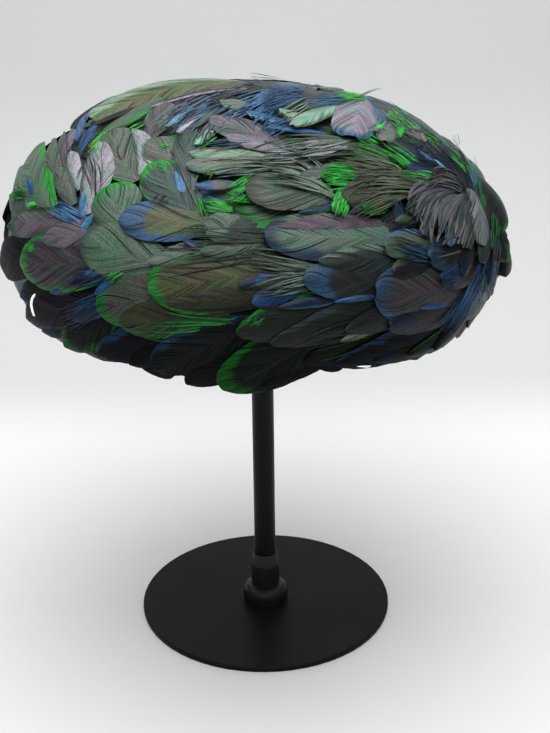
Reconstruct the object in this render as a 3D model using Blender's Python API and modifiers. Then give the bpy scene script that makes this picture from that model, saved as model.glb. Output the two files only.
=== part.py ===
"""A feathered cocktail hat resting on its plain round display stand.

Metres, +Z up, +X to the right of the hat's front, +Y to its back.
The origin is the centre of the disc's underside, where the stand meets the table.
The hat is a hollow domed cap. Three layers of feathers lie on it, each fused to a thin backing:
a row that hangs over the rim, the cover of the crown, and a small rosette that the flow starts from.
"""

import math

import bmesh
import bpy
from mathutils import Euler, Vector

# Stand
BASE_DIAMETER = 0.140
BASE_THICKNESS = 0.003
BASE_EDGE_ROUND = 0.0007
POST_DIAMETER = 0.0118
COLLAR_DIAMETER = 0.025
COLLAR_RIM_HEIGHT = 0.005
COLLAR_SLEEVE_DIAMETER = 0.0158
COLLAR_SHOULDER_TOP = 0.0095
COLLAR_SLEEVE_TOP = 0.023
COLLAR_HEIGHT = 0.030
HEAD_DIAMETER = 0.072
HEAD_CROWN_RADIUS = 0.120
HEAD_EDGE_THICKNESS = 0.006
HEAD_BOSS_DIAMETER = 0.026
HEAD_BOSS_HEIGHT = 0.012
HEAD_BOSS_TAPER = 0.8
COLLAR_LIP = 0.0005
GAP = 0.0003

# Straight sides that stand for a full turn
BASE_SIDES = 60
COLLAR_SIDES = 32
POST_SIDES = 28
HEAD_SIDES = 24
BUTTON_SIDES = 16
COLLAR_SHOULDER_STEPS = 4
HEAD_CROWN_STEPS = 5
EDGE_ROUND_STEPS = 3
SAME_POINT = 0.00001

# Hat
HAT_CENTRE = Vector((-0.002, 0.0, 0.2184))
HAT_TILT = Euler((math.radians(9.2), math.radians(0.8), 0.0))
CAP_HALF_WIDTH = 0.122
CAP_HALF_DEPTH = 0.112
CAP_RISE = 0.0662
CAP_DROP = 0.050
CAP_SQUARENESS = 2.24
CAP_RIM_BELOW_CENTRE = 0.008
CAP_WALL = 0.002
CAP_RINGS = 9
RING_CLEARANCE = math.radians(1.5)
AROUND = 36

# Feather layers: a layer's height is measured outwards from the cap
BACKING_WALL = 0.0012
VANE_THICKNESS = 0.0009
CROWN_VANE_THICKNESS = 0.0030
VANE_CROWN = 0.0004
VANE_ROLL = 0.0004
VANE_UNEVEN = 0.0004
GOLDEN_SHARE = 0.618
EDGE_BAND_STEP = 0.001
EDGE_BAND_TOP = 0.0185
COVER_BACKING_BOTTOM = 0.0215
COVER_BACKING_HEIGHT = 0.0049
WHORL_CENTRE = Vector((0.099, -0.034, 0.0465))
FAR_END = Vector((-0.126, -0.029, 0.003))
WHORL_BUTTON_RADIUS = 0.011

# A vane's outline, from its quill to its tip: how far along, and its share of the full width
VANE_OUTLINE = (
    (0.00, 0.38),
    (0.40, 0.94),
    (0.80, 0.86),
    (1.00, 0.28),
)

# Heights of a vane over the cap at each row of its outline
EDGE_HEIGHTS = (0.0025, 0.0030, 0.0031, 0.0031)
SKIRT_HEIGHTS = (0.0049, 0.0063, 0.0068, 0.0070)
CROWN_HEIGHTS = (0.0040, 0.0054, 0.0064, 0.0068)
WHORL_HEIGHTS = (0.0062, 0.0074, 0.0081, 0.0084)

# Rings of the cover around the whorl: distance of the quills from it, feathers in a full turn,
# vane length, vane width
COVER_RINGS = (
    (0.016, 9, 0.046, 0.022),
    (0.052, 12, 0.058, 0.034),
    (0.098, 15, 0.060, 0.038),
    (0.146, 18, 0.060, 0.037),
    (0.192, 18, 0.056, 0.035),
)
RING_STEP = 0.010
WHORL_FALL = 6.0
WHORL_FALL_REACH = 0.060
LANES = 3
SKIRT_LEVEL = 0.030
SKIRT_LOWEST = -0.008
CROWN_CLEAR = 0.006
CROWN_LEAST = 0.55
SKIRT_VANES = 21
SKIRT_DROOP = 0.45
SKIRT_VANE_LENGTH = 0.050
SKIRT_VANE_WIDTH = 0.036
EDGE_LEVEL = 0.0125
EDGE_LOWEST = -0.018
EDGE_VANES = 24
EDGE_DROOP = 0.50
EDGE_VANE_LENGTH = 0.049
EDGE_VANE_WIDTH = 0.034
WHORL_BARBS = 9
WHORL_BARB_LENGTH = 0.027
WHORL_BARB_WIDTH = 0.010
WHORL_SWIRL = 0.7
WHORL_QUILLS_AT = 0.5

BLACK_SATIN = ((0.020, 0.021, 0.020, 1.0), 0.42, 0.0)
FELT_BLACK = ((0.018, 0.018, 0.020, 1.0), 0.95, 0.0)
FEATHER_GREY_GREEN = ((0.060, 0.075, 0.055, 1.0), 0.45, 0.0)
FEATHER_DARK = ((0.022, 0.026, 0.034, 1.0), 0.50, 0.0)
FEATHER_SILVER = ((0.180, 0.190, 0.200, 1.0), 0.40, 0.0)


def clear_scene():
    """Removes whatever the file holds."""
    for obj in list(bpy.data.objects):
        bpy.data.objects.remove(obj)


def new_collection(name):
    """A new collection in the scene."""
    collection = bpy.data.collections.new(name)
    bpy.context.scene.collection.children.link(collection)
    return collection


def material(name, finish):
    """A Principled material from a colour, a roughness and a metallic value."""
    colour, roughness, metallic = finish
    made = bpy.data.materials.new(name)
    made.use_nodes = True
    shader = made.node_tree.nodes["Principled BSDF"]
    shader.inputs["Base Color"].default_value = colour
    shader.inputs["Roughness"].default_value = roughness
    shader.inputs["Metallic"].default_value = metallic
    return made


def object_of(bm, name, collection, finish=None):
    """An object made from a bmesh, which is freed."""
    mesh = bpy.data.meshes.new(name)
    bm.to_mesh(mesh)
    bm.free()
    obj = bpy.data.objects.new(name, mesh)
    collection.objects.link(obj)
    if finish:
        mesh.materials.append(material(name, finish))
    return obj


def turned(name, profile, collection, finish, steps, closed=False):
    """A solid turned about Z. The profile runs down its outer side; a closed one is a ring's section."""
    bm = bmesh.new()
    corners = [bm.verts.new((radius, 0.0, height)) for radius, height in profile]
    pairs = list(zip(corners, corners[1:]))
    if closed:
        pairs.append((corners[-1], corners[0]))
    for pair in pairs:
        bm.edges.new(pair)
    obj = object_of(bm, name, collection, finish)
    screw = obj.modifiers.new("turn", "SCREW")
    screw.steps = steps
    screw.render_steps = steps
    screw.use_merge_vertices = True
    screw.merge_threshold = SAME_POINT
    screw.use_smooth_shade = True
    return obj


def arc(centre, radius, start_deg, end_deg, count):
    """Points along an arc in a turned profile's plane."""
    points = []
    for step in range(count + 1):
        angle = math.radians(start_deg + (end_deg - start_deg) * step / count)
        points.append((centre[0] + radius * math.cos(angle), centre[1] + radius * math.sin(angle)))
    return points


def dome_point(direction, height):
    """The point in this direction from the hat's centre that lies this far outside the cap."""
    ray = direction.normalized()
    rise = CAP_RISE if ray.z > 0 else CAP_DROP
    across = math.hypot(ray.x / (CAP_HALF_WIDTH + height), ray.y / (CAP_HALF_DEPTH + height))
    upward = abs(ray.z) / (rise + height)
    reach = (across**CAP_SQUARENESS + upward**CAP_SQUARENESS) ** (-1.0 / CAP_SQUARENESS)
    return ray * reach


def dome_normal(point):
    """The cap's outward direction near a point."""
    across = math.hypot(point.x / CAP_HALF_WIDTH, point.y / CAP_HALF_DEPTH)
    rise = CAP_RISE if point.z > 0 else CAP_DROP
    slope = across ** (CAP_SQUARENESS - 2.0)
    upward = (abs(point.z) / rise) ** (CAP_SQUARENESS - 1.0) / rise
    normal = Vector(
        (
            slope * point.x / CAP_HALF_WIDTH**2,
            slope * point.y / CAP_HALF_DEPTH**2,
            math.copysign(upward, point.z),
        )
    )
    return normal.normalized()


def dome_level(point, level, height):
    """A point moved along the dome, up or down its side, to this level above the hat's centre."""
    flat = math.hypot(point.x, point.y)
    low, high = -math.pi / 2.0, math.pi / 2.0
    for _ in range(30):
        middle = (low + high) / 2.0
        across = math.cos(middle) / flat
        ray = Vector((point.x * across, point.y * across, math.sin(middle)))
        if dome_point(ray, height).z < level:
            low = middle
        else:
            high = middle
    return dome_point(ray, height)


def along_dome(point, heading, distance):
    """A step over the cap's surface: the new point, and the heading carried along."""
    normal = dome_normal(point)
    flat = (heading - normal * heading.dot(normal)).normalized()
    moved = dome_point(point + flat * distance, 0.0)
    turned_normal = dome_normal(moved)
    return moved, (flat - turned_normal * flat.dot(turned_normal)).normalized()


def ladder(bottom, top, height):
    """The angles above the hat's centre of a wall's rings: its two ends, and the cap's rings between."""
    foot = ring_angle(-CAP_RIM_BELOW_CENTRE, 0.0)
    cap_rings = [foot + (math.pi / 2.0 - foot) * step / CAP_RINGS for step in range(CAP_RINGS + 1)]
    low = ring_angle(bottom, height)
    high = math.pi / 2.0 if top is None else ring_angle(top, height)
    between = [
        angle for angle in cap_rings if low + RING_CLEARANCE < angle < high - RING_CLEARANCE
    ]
    return [low, *between, high]


def ring_angle(level, height):
    """The angle above the hat's centre of the dome's ring at a level."""
    point = dome_level(Vector((1.0, 0.0, 0.0)), level, height)
    return math.atan2(point.z, point.x)


def dome_shell(name, collection, finish, height, wall, bottom, top=None):
    """A wall over the cap from a level up to the crown's middle, or to a top level where one is given."""
    outer = [(angle, height) for angle in ladder(bottom, top, height)]
    inner = [(angle, height - wall) for angle, _ in reversed(outer)]
    section = outer + inner + outer[:1]
    bm = bmesh.new()
    bmesh.ops.create_grid(bm, x_segments=AROUND, y_segments=len(section) - 1, size=1.0)
    for vert in bm.verts:
        azimuth = math.pi * vert.co.x
        angle, level = section[round((vert.co.y + 1.0) / 2.0 * (len(section) - 1))]
        across = math.cos(angle)
        ray = Vector((across * math.cos(azimuth), across * math.sin(azimuth), math.sin(angle)))
        vert.co = dome_point(ray, level)
    if top is None:
        middle = []
        for face in bm.faces:
            if all(v.co.xy.length < 10.0 * SAME_POINT for v in face.verts):
                middle.append(face)
        bmesh.ops.delete(bm, geom=middle, context="FACES")
    bmesh.ops.remove_doubles(bm, verts=bm.verts, dist=SAME_POINT)
    obj = object_of(bm, name, collection, finish)
    obj.data.shade_smooth()
    return obj


def add_vane(bm, quill, heading, length, width, heights):
    """One feather's vane over the dome, from its quill's end to its tip, as an open surface."""
    normal = dome_normal(quill)
    spot = quill
    course = heading - normal * heading.dot(normal)
    rows = []
    travelled = 0.0
    for (share, breadth), height in zip(VANE_OUTLINE, heights):
        if share > travelled:
            spot, course = along_dome(spot, course, (share - travelled) * length)
            travelled = share
        side = dome_normal(spot).cross(course).normalized()
        half = width * breadth / 2.0
        rows.append(
            [
                bm.verts.new(dome_point(spot + side * half, height + VANE_ROLL)),
                bm.verts.new(dome_point(spot, height + VANE_CROWN)),
                bm.verts.new(dome_point(spot - side * half, height - VANE_ROLL)),
            ]
        )
    for near, far in zip(rows, rows[1:]):
        for left, right in ((0, 1), (1, 2)):
            bm.faces.new((near[left], near[right], far[right], far[left]))


def feathers(name, layout, heights, thickness, guides):
    """A layer's vanes as guides to join in turn. The vanes in one guide lie clear of each other."""
    lanes = {}
    for number, (quill, heading, length, width, lane) in enumerate(layout):
        uneven = VANE_UNEVEN * ((number * GOLDEN_SHARE) % 1.0)
        bm = lanes.setdefault(lane, bmesh.new())
        add_vane(bm, quill, heading, length, width, [height + uneven for height in heights])
    made = []
    for lane, bm in sorted(lanes.items()):
        bmesh.ops.recalc_face_normals(bm, faces=bm.faces)
        for face in bm.faces:
            if face.normal.dot(face.calc_center_median()) < 0.0:
                face.normal_flip()
        obj = object_of(bm, f"{name}_{lane}", guides)
        solid = obj.modifiers.new("vane", "SOLIDIFY")
        solid.thickness = thickness
        solid.offset = -1.0
        obj.modifiers.new("flat faces", "TRIANGULATE")
        obj.hide_render = True
        obj.display_type = "WIRE"
        made.append(obj)
    return made


def fuse(backing, vanes):
    """Joins a layer's vanes to its backing in one body, and keeps only that body's outer skin."""
    backing.modifiers.new("flat faces", "TRIANGULATE")
    for guide in vanes:
        union = backing.modifiers.new(guide.name, "BOOLEAN")
        union.operation = "UNION"
        union.solver = "MANIFOLD"
        union.object = guide
    graph = bpy.context.evaluated_depsgraph_get()
    joined = bpy.data.meshes.new_from_object(backing.evaluated_get(graph))
    backing.modifiers.clear()
    bm = bmesh.new()
    bm.from_mesh(joined)
    islands = face_islands(bm)
    largest = max(islands, key=len)
    enclosed = [face for island in islands if island is not largest for face in island]
    bmesh.ops.delete(bm, geom=enclosed, context="FACES")
    bm.to_mesh(joined)
    bm.free()
    backing.data = joined


def face_islands(bm):
    """The mesh's faces in groups that meet across edges."""
    left = set(bm.faces)
    islands = []
    while left:
        island = [left.pop()]
        for face in island:
            for edge in face.edges:
                if len(edge.link_faces) == 2:
                    for other in edge.link_faces:
                        if other in left:
                            left.remove(other)
                            island.append(other)
        islands.append(island)
    return islands


def flow(point, droop):
    """The way a feather lies at a point: from the whorl towards the far end, turned down by a share."""
    normal = dome_normal(point)
    from_whorl = point - dome_point(WHORL_CENTRE, 0.0)
    to_end = dome_point(FAR_END, 0.0) - point
    course = from_whorl.normalized() / from_whorl.length + to_end.normalized() / to_end.length
    course -= normal * course.dot(normal)
    down = Vector((0.0, 0.0, -1.0))
    down -= normal * down.dot(normal)
    near = math.exp(-((from_whorl.length / WHORL_FALL_REACH) ** 2))
    return (course.normalized() + down * (droop + WHORL_FALL * near)).normalized()


def row_at_level(level, lowest, count, droop, length, width):
    """Feathers all round the dome, their quills at one level and no tip below another."""
    rows = []
    for number in range(count):
        angle = 2.0 * math.pi * (number + 0.5) / count
        around = Vector((CAP_HALF_WIDTH * math.cos(angle), CAP_HALF_DEPTH * math.sin(angle), 0.0))
        quill = dome_level(around, level, 0.0)
        course = flow(quill, droop)
        fitting = length_above(quill, course, lowest, length)
        rows.append((quill, course, fitting, width, number % LANES))
    return rows


def length_above(quill, course, level, length):
    """How long a feather may be before it reaches down past a level."""
    steps = 12
    spot = quill
    for step in range(steps):
        if spot.z < level and step > 0:
            return length * step / steps
        spot, course = along_dome(spot, course, length / steps)
    return length


def rings_around_whorl():
    """Rings of feathers around the whorl, kept where their quills lie above the skirt's."""
    centre = dome_point(WHORL_CENTRE, 0.0)
    normal = dome_normal(centre)
    upright = Vector((0.0, 0.0, 1.0))
    upright = (upright - normal * upright.dot(normal)).normalized()
    sideways = normal.cross(upright)
    rows = []
    for ring, (distance, count, length, width) in enumerate(COVER_RINGS):
        steps = max(2, round(distance / RING_STEP))
        for number in range(count):
            turn = 2.0 * math.pi * (number + 0.5 * (ring % 2)) / count
            quill = centre
            heading = upright * math.cos(turn) + sideways * math.sin(turn)
            for _ in range(steps):
                quill, heading = along_dome(quill, heading, distance / steps)
            course = flow(quill, 0.0) if distance > WHORL_FALL_REACH else heading
            fitting = length_above(quill, course, COVER_BACKING_BOTTOM + CROWN_CLEAR, length)
            if quill.z > SKIRT_LEVEL + CROWN_CLEAR and fitting > CROWN_LEAST * length:
                rows.append((quill, course, fitting, width, ring * LANES + number % LANES))
    return rows


def whorl_layout():
    """Narrow barbs that spread from the button."""
    centre = dome_point(WHORL_CENTRE, 0.0)
    normal = dome_normal(centre)
    side = normal.cross(Vector((0.0, 0.0, 1.0))).normalized()
    rise = side.cross(normal)
    rows = []
    for number in range(WHORL_BARBS):
        turn = 2.0 * math.pi * number / WHORL_BARBS
        out = side * math.cos(turn) + rise * math.sin(turn)
        swirl = side * math.cos(turn + WHORL_SWIRL) + rise * math.sin(turn + WHORL_SWIRL)
        quill = dome_point(centre + out * WHORL_BUTTON_RADIUS * WHORL_QUILLS_AT, 0.0)
        rows.append((quill, swirl, WHORL_BARB_LENGTH, WHORL_BARB_WIDTH, number % LANES))
    return rows


def whorl_button(parts):
    """The rosette's small round backing, set on the cover."""
    centre = dome_point(WHORL_CENTRE, 0.0)
    normal = dome_normal(centre)
    side = normal.cross(Vector((0.0, 0.0, 1.0))).normalized()
    rise = side.cross(normal)
    bm = bmesh.new()
    bmesh.ops.create_circle(
        bm, cap_ends=True, cap_tris=True, segments=BUTTON_SIDES, radius=WHORL_BUTTON_RADIUS
    )
    for vert in bm.verts:
        spot = centre + side * vert.co.x + rise * vert.co.y
        vert.co = dome_point(spot, COVER_BACKING_HEIGHT + GAP + BACKING_WALL)
    for face in bm.faces:
        if face.normal.dot(normal) < 0.0:
            face.normal_flip()
    obj = object_of(bm, "feather_whorl", parts, FEATHER_SILVER)
    solid = obj.modifiers.new("wall", "SOLIDIFY")
    solid.thickness = BACKING_WALL
    solid.offset = -1.0
    solid.use_even_offset = True
    return obj


def room_under_crown(x, y):
    """The level of the cap's inner side over a point of the table."""
    turn = HAT_TILT.to_matrix().transposed()
    low, high = HAT_CENTRE.z, HAT_CENTRE.z + 2.0 * CAP_RISE
    for _ in range(40):
        middle = (low + high) / 2.0
        local = turn @ (Vector((x, y, middle)) - HAT_CENTRE)
        if local.length < dome_point(local, -CAP_WALL).length:
            low = middle
        else:
            high = middle
    return low


def head_profile_drop(radius):
    """How far the head's crowned top has dropped at this radius."""
    return HEAD_CROWN_RADIUS - math.sqrt(HEAD_CROWN_RADIUS**2 - radius**2)


def head_top():
    """The highest level of the head's top that stays a small gap under the cap."""
    best = 1.0
    rings = 12
    for ring in range(rings + 1):
        radius = HEAD_DIAMETER / 2.0 * ring / rings
        for step in range(HEAD_SIDES):
            angle = 2.0 * math.pi * step / HEAD_SIDES
            room = room_under_crown(radius * math.cos(angle), radius * math.sin(angle))
            best = min(best, room + head_profile_drop(radius))
    return best - GAP


def build_stand(parts):
    """The disc, the collar, the post and the head."""
    rim = BASE_DIAMETER / 2.0
    top = BASE_THICKNESS
    edge = BASE_EDGE_ROUND
    base = [(0.0, top)]
    base += arc((rim - edge, top - edge), edge, 90, 0, EDGE_ROUND_STEPS)
    base += arc((rim - edge, edge), edge, 0, -90, EDGE_ROUND_STEPS)
    base.append((0.0, 0.0))
    turned("stand_base", base, parts, BLACK_SATIN, BASE_SIDES)

    seat = BASE_THICKNESS + GAP
    bore = POST_DIAMETER / 2.0 + GAP
    sleeve = COLLAR_SLEEVE_DIAMETER / 2.0
    outer = COLLAR_DIAMETER / 2.0
    shoulder = COLLAR_SHOULDER_TOP - COLLAR_RIM_HEIGHT
    collar = [(bore, seat + COLLAR_HEIGHT), (bore + COLLAR_LIP, seat + COLLAR_HEIGHT)]
    collar.append((sleeve, seat + COLLAR_SLEEVE_TOP))
    collar.append((sleeve, seat + COLLAR_SHOULDER_TOP))
    for step in range(1, COLLAR_SHOULDER_STEPS + 1):
        angle = math.pi / 2.0 * (1.0 - step / COLLAR_SHOULDER_STEPS)
        reach = sleeve + (outer - sleeve) * math.cos(angle)
        collar.append((reach, seat + COLLAR_RIM_HEIGHT + shoulder * math.sin(angle)))
    collar.append((outer, seat))
    collar.append((bore, seat))
    turned("stand_collar", collar, parts, BLACK_SATIN, COLLAR_SIDES, closed=True)

    crown = head_top()
    radius = HEAD_DIAMETER / 2.0
    edge_level = crown - head_profile_drop(radius)
    boss = HEAD_BOSS_DIAMETER / 2.0
    underside = edge_level - HEAD_EDGE_THICKNESS
    boss_foot = underside - HEAD_BOSS_HEIGHT
    head = []
    for ring in range(HEAD_CROWN_STEPS + 1):
        reach = radius * ring / HEAD_CROWN_STEPS
        head.append((reach, crown - head_profile_drop(reach)))
    head.append((radius, underside))
    head.append((boss, underside))
    head.append((boss * HEAD_BOSS_TAPER, boss_foot))
    head.append((0.0, boss_foot))
    turned("stand_head", head, parts, BLACK_SATIN, HEAD_SIDES)

    height = boss_foot - GAP - seat
    half = POST_DIAMETER / 2.0
    bm = bmesh.new()
    bmesh.ops.create_cone(
        bm, cap_ends=True, segments=POST_SIDES, radius1=half, radius2=half, depth=height
    )
    post = object_of(bm, "stand_post", parts, BLACK_SATIN)
    post.location = (0.0, 0.0, seat + height / 2.0)
    post.data.shade_smooth()


def build_hat(parts, guides):
    """The cap and its three layers of feathers, on a seat tilted towards the front."""
    seat = bpy.data.objects.new("hat_seat", None)
    seat.location = HAT_CENTRE
    seat.rotation_euler = HAT_TILT
    parts.objects.link(seat)

    rim = -CAP_RIM_BELOW_CENTRE
    cap = dome_shell("hat_cap", parts, FELT_BLACK, 0.0, CAP_WALL, rim)

    height = GAP + BACKING_WALL
    foot = rim + EDGE_BAND_STEP
    band = dome_shell(
        "feather_edge_row", parts, FEATHER_DARK, height, BACKING_WALL, foot, EDGE_BAND_TOP
    )
    edge = row_at_level(
        EDGE_LEVEL, EDGE_LOWEST, EDGE_VANES, EDGE_DROOP, EDGE_VANE_LENGTH, EDGE_VANE_WIDTH
    )
    edge_vanes = feathers("edge_vanes", edge, EDGE_HEIGHTS, VANE_THICKNESS, guides)
    fuse(band, edge_vanes)

    wall = COVER_BACKING_HEIGHT - GAP
    cover = dome_shell(
        "feather_cover", parts, FEATHER_GREY_GREEN, COVER_BACKING_HEIGHT, wall, COVER_BACKING_BOTTOM
    )
    skirt = row_at_level(
        SKIRT_LEVEL, SKIRT_LOWEST, SKIRT_VANES, SKIRT_DROOP, SKIRT_VANE_LENGTH, SKIRT_VANE_WIDTH
    )
    skirt_vanes = feathers("skirt_vanes", skirt, SKIRT_HEIGHTS, VANE_THICKNESS, guides)
    rings = rings_around_whorl()
    crown_vanes = feathers("crown_vanes", rings, CROWN_HEIGHTS, CROWN_VANE_THICKNESS, guides)
    fuse(cover, skirt_vanes + crown_vanes)

    button = whorl_button(parts)
    barbs = feathers("whorl_barbs", whorl_layout(), WHORL_HEIGHTS, VANE_THICKNESS, guides)
    fuse(button, barbs)

    for piece in (cap, band, cover, button, *edge_vanes, *skirt_vanes, *crown_vanes, *barbs):
        piece.parent = seat


def main():
    clear_scene()
    parts = new_collection("feathered_cocktail_hat")
    guides = new_collection("guides")
    build_stand(parts)
    build_hat(parts, guides)


main()
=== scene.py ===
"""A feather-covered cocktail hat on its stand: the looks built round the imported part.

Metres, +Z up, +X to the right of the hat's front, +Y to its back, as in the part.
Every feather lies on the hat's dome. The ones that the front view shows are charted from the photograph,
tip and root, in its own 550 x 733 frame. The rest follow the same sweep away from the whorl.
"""

import logging
import math
import random
from collections.abc import Callable
from dataclasses import dataclass
from enum import Enum

import bpy
from mathutils import Euler, Matrix, Vector


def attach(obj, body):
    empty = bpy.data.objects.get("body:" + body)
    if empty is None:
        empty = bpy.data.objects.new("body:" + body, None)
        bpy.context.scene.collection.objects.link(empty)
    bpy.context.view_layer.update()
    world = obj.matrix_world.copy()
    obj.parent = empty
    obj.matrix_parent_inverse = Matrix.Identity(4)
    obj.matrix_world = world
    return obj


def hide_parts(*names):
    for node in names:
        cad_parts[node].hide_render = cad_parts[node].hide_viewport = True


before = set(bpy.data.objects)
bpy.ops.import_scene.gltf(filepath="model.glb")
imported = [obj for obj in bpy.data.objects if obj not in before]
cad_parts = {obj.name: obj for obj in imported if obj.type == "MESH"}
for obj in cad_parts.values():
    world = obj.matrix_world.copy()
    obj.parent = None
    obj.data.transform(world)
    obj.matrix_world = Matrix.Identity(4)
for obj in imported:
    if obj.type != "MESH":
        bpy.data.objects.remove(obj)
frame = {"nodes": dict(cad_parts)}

PHOTO_WIDTH = 550
PHOTO_HEIGHT = 733
BODY = "root"
SEED = 20
MILLIMETRE = 0.001
Pixel = tuple[float, float]
Colour = tuple[float, float, float]
Bands = tuple[float, float, float]


def linear(red: int, green: int, blue: int) -> Colour:
    """The scene-linear colour of an 8-bit screen colour.

    Args:
        red: red, 0 to 255.
        green: green, 0 to 255.
        blue: blue, 0 to 255.

    Returns:
        The three linear values.
    """
    values = []
    for level in (red, green, blue):
        share = level / 255.0
        values.append(share / 12.92 if share <= 0.04045 else ((share + 0.055) / 1.055) ** 2.4)
    return (values[0], values[1], values[2])


def halve(passes: Callable[[float], bool], low: float, high: float, turns: int) -> tuple[float, float]:
    """Closes in on the place between two values where a test stops passing.

    Args:
        passes: the test, which passes at the low value.
        low: the low value.
        high: the high value.
        turns: how many times the range is halved.

    Returns:
        The two values on either side of the place.
    """
    for _ in range(turns):
        between = (low + high) / 2.0
        if passes(between):
            low = between
        else:
            high = between
    return low, high


def nearness(height: float, start: float) -> float:
    """How far down a height lies: 0 from the start up, and 1 from the hat's own level down."""
    return max(0.0, min(1.0, (start - height) / start))


class Dye(Enum):
    """The colours of the feathers, as the eye sees them in soft light."""

    BLACK = linear(22, 22, 25)
    CHARCOAL = linear(42, 46, 47)
    SLATE = linear(62, 76, 74)
    AUBERGINE = linear(52, 46, 56)
    MAUVE = linear(90, 86, 91)
    LILAC = linear(116, 112, 122)
    PURPLE_BROWN = linear(74, 68, 73)
    BROWN_GREY = linear(90, 98, 88)
    GREY_GREEN = linear(84, 106, 88)
    PALE_GREY_GREEN = linear(110, 130, 112)
    OLIVE = linear(78, 86, 58)
    OLIVE_BROWN = linear(78, 82, 54)
    YELLOW_GREEN = linear(120, 130, 50)
    BLACK_GREEN = linear(34, 46, 36)
    DARK_GREEN = linear(22, 66, 38)
    GREEN = linear(30, 134, 46)
    BRIGHT_GREEN = linear(46, 184, 60)
    MINT = linear(122, 154, 136)
    NAVY = linear(22, 38, 64)
    NAVY_BLACK = linear(26, 30, 44)
    STEEL_BLUE = linear(48, 82, 114)
    ROYAL = linear(34, 76, 124)
    LIGHT_BLUE = linear(84, 130, 168)
    SILVER = linear(138, 146, 148)
    # Pure white for painted highlights, not a feather's dye.
    WHITE = linear(226, 228, 226)
    PINK_MAUVE = linear(104, 88, 103)


class Shape(Enum):
    """The kinds of vane, numbered as they stand in the collection of shapes."""

    ROUND = 0
    BLUNT = 1
    LONG = 2
    SPLIT = 3
    PLAIN = 4
    PLAIN_SPLIT = 5
    STRAND = 6


@dataclass(frozen=True)
class Plume:
    """A feather charted from the photograph, in its pixels.

    The bands are the shares of the vane that the rim's dye takes at the tip, the left and the right, seen
    from the root towards the tip. Lift, twist and crest are in millimetres.
    """

    tip: Pixel
    root: Pixel
    width: float
    body: Dye
    rim: Dye = Dye.BLACK
    bands: Bands = (0, 0, 0)
    shape: Shape = Shape.ROUND
    layer: float = 0
    lift: float = 0.0
    bow: float = 0.0
    quill: float = 0.0
    twist: float = 0.0
    crest: float = 0.0
    held: bool = False
    # The tone scales the chart's brightness for this feather: partly its own dye, partly painted shade.
    tone: float = 1.0


@dataclass(frozen=True)
class Chart:
    """The charted feathers of one part of the hat, and a brightness scale for their dyes there, partly their
    own dye and partly painted shade: darkest at the lower rim, lightest on top.
    """

    tone: float
    plumes: tuple[Plume, ...]


@dataclass(frozen=True)
class Tuft:
    """Loose barbs charted from the photograph, in its pixels, from where they start to where they end."""

    start: Pixel
    end: Pixel
    spread: float
    count: int
    dye: Dye
    other: Dye
    thickness: float = 2.2
    layer: float = 13
    # The tone scales the dyes: partly the barbs' own dye, partly painted shade.
    tone: float = 0.6
    lift: float = 0.0
    wild: float = 0.06
    bow: float = 0.0
    fan: float = 1.0
    free: bool = False


@dataclass(frozen=True)
class Row:
    """One vane ready to be laid: where it starts on the cap, how it lies, and its colours."""

    quill: Vector
    heading: Vector
    normal: Vector
    length: float
    width: float
    base: float
    rise: float
    twist: float
    bow: float
    shape: Shape
    body: Dye
    rim: Dye
    bands: Bands
    pale_quill: float
    # The tone is partly the feather's own dye and partly painted shade.
    tone: float
    crest: float = 0.0
    arch: float = 0.6


class Value:
    """What a node puts out. It can be reckoned with as a plain number can."""

    def __init__(self, graph: "Graph", socket: bpy.types.NodeSocket) -> None:
        """Keeps the graph and the socket."""
        self.graph = graph
        self.socket = socket

    def __add__(self, other: object) -> "Value":
        """The sum."""
        return self.graph.math("ADD", self, other)

    def __sub__(self, other: object) -> "Value":
        """The difference."""
        return self.graph.math("SUBTRACT", self, other)

    def __rsub__(self, other: object) -> "Value":
        """A plain number less this value."""
        return self.graph.math("SUBTRACT", other, self)

    def __mul__(self, other: object) -> "Value":
        """The product."""
        return self.graph.math("MULTIPLY", self, other)

    def __truediv__(self, other: object) -> "Value":
        """The quotient."""
        return self.graph.math("DIVIDE", self, other)

    def __rtruediv__(self, other: object) -> "Value":
        """A plain number over this value."""
        return self.graph.math("DIVIDE", other, self)

    def __pow__(self, other: object) -> "Value":
        """The power."""
        return self.graph.math("POWER", self, other)

    def __abs__(self) -> "Value":
        """The value without its sign."""
        return self.graph.math("ABSOLUTE", self)


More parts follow.
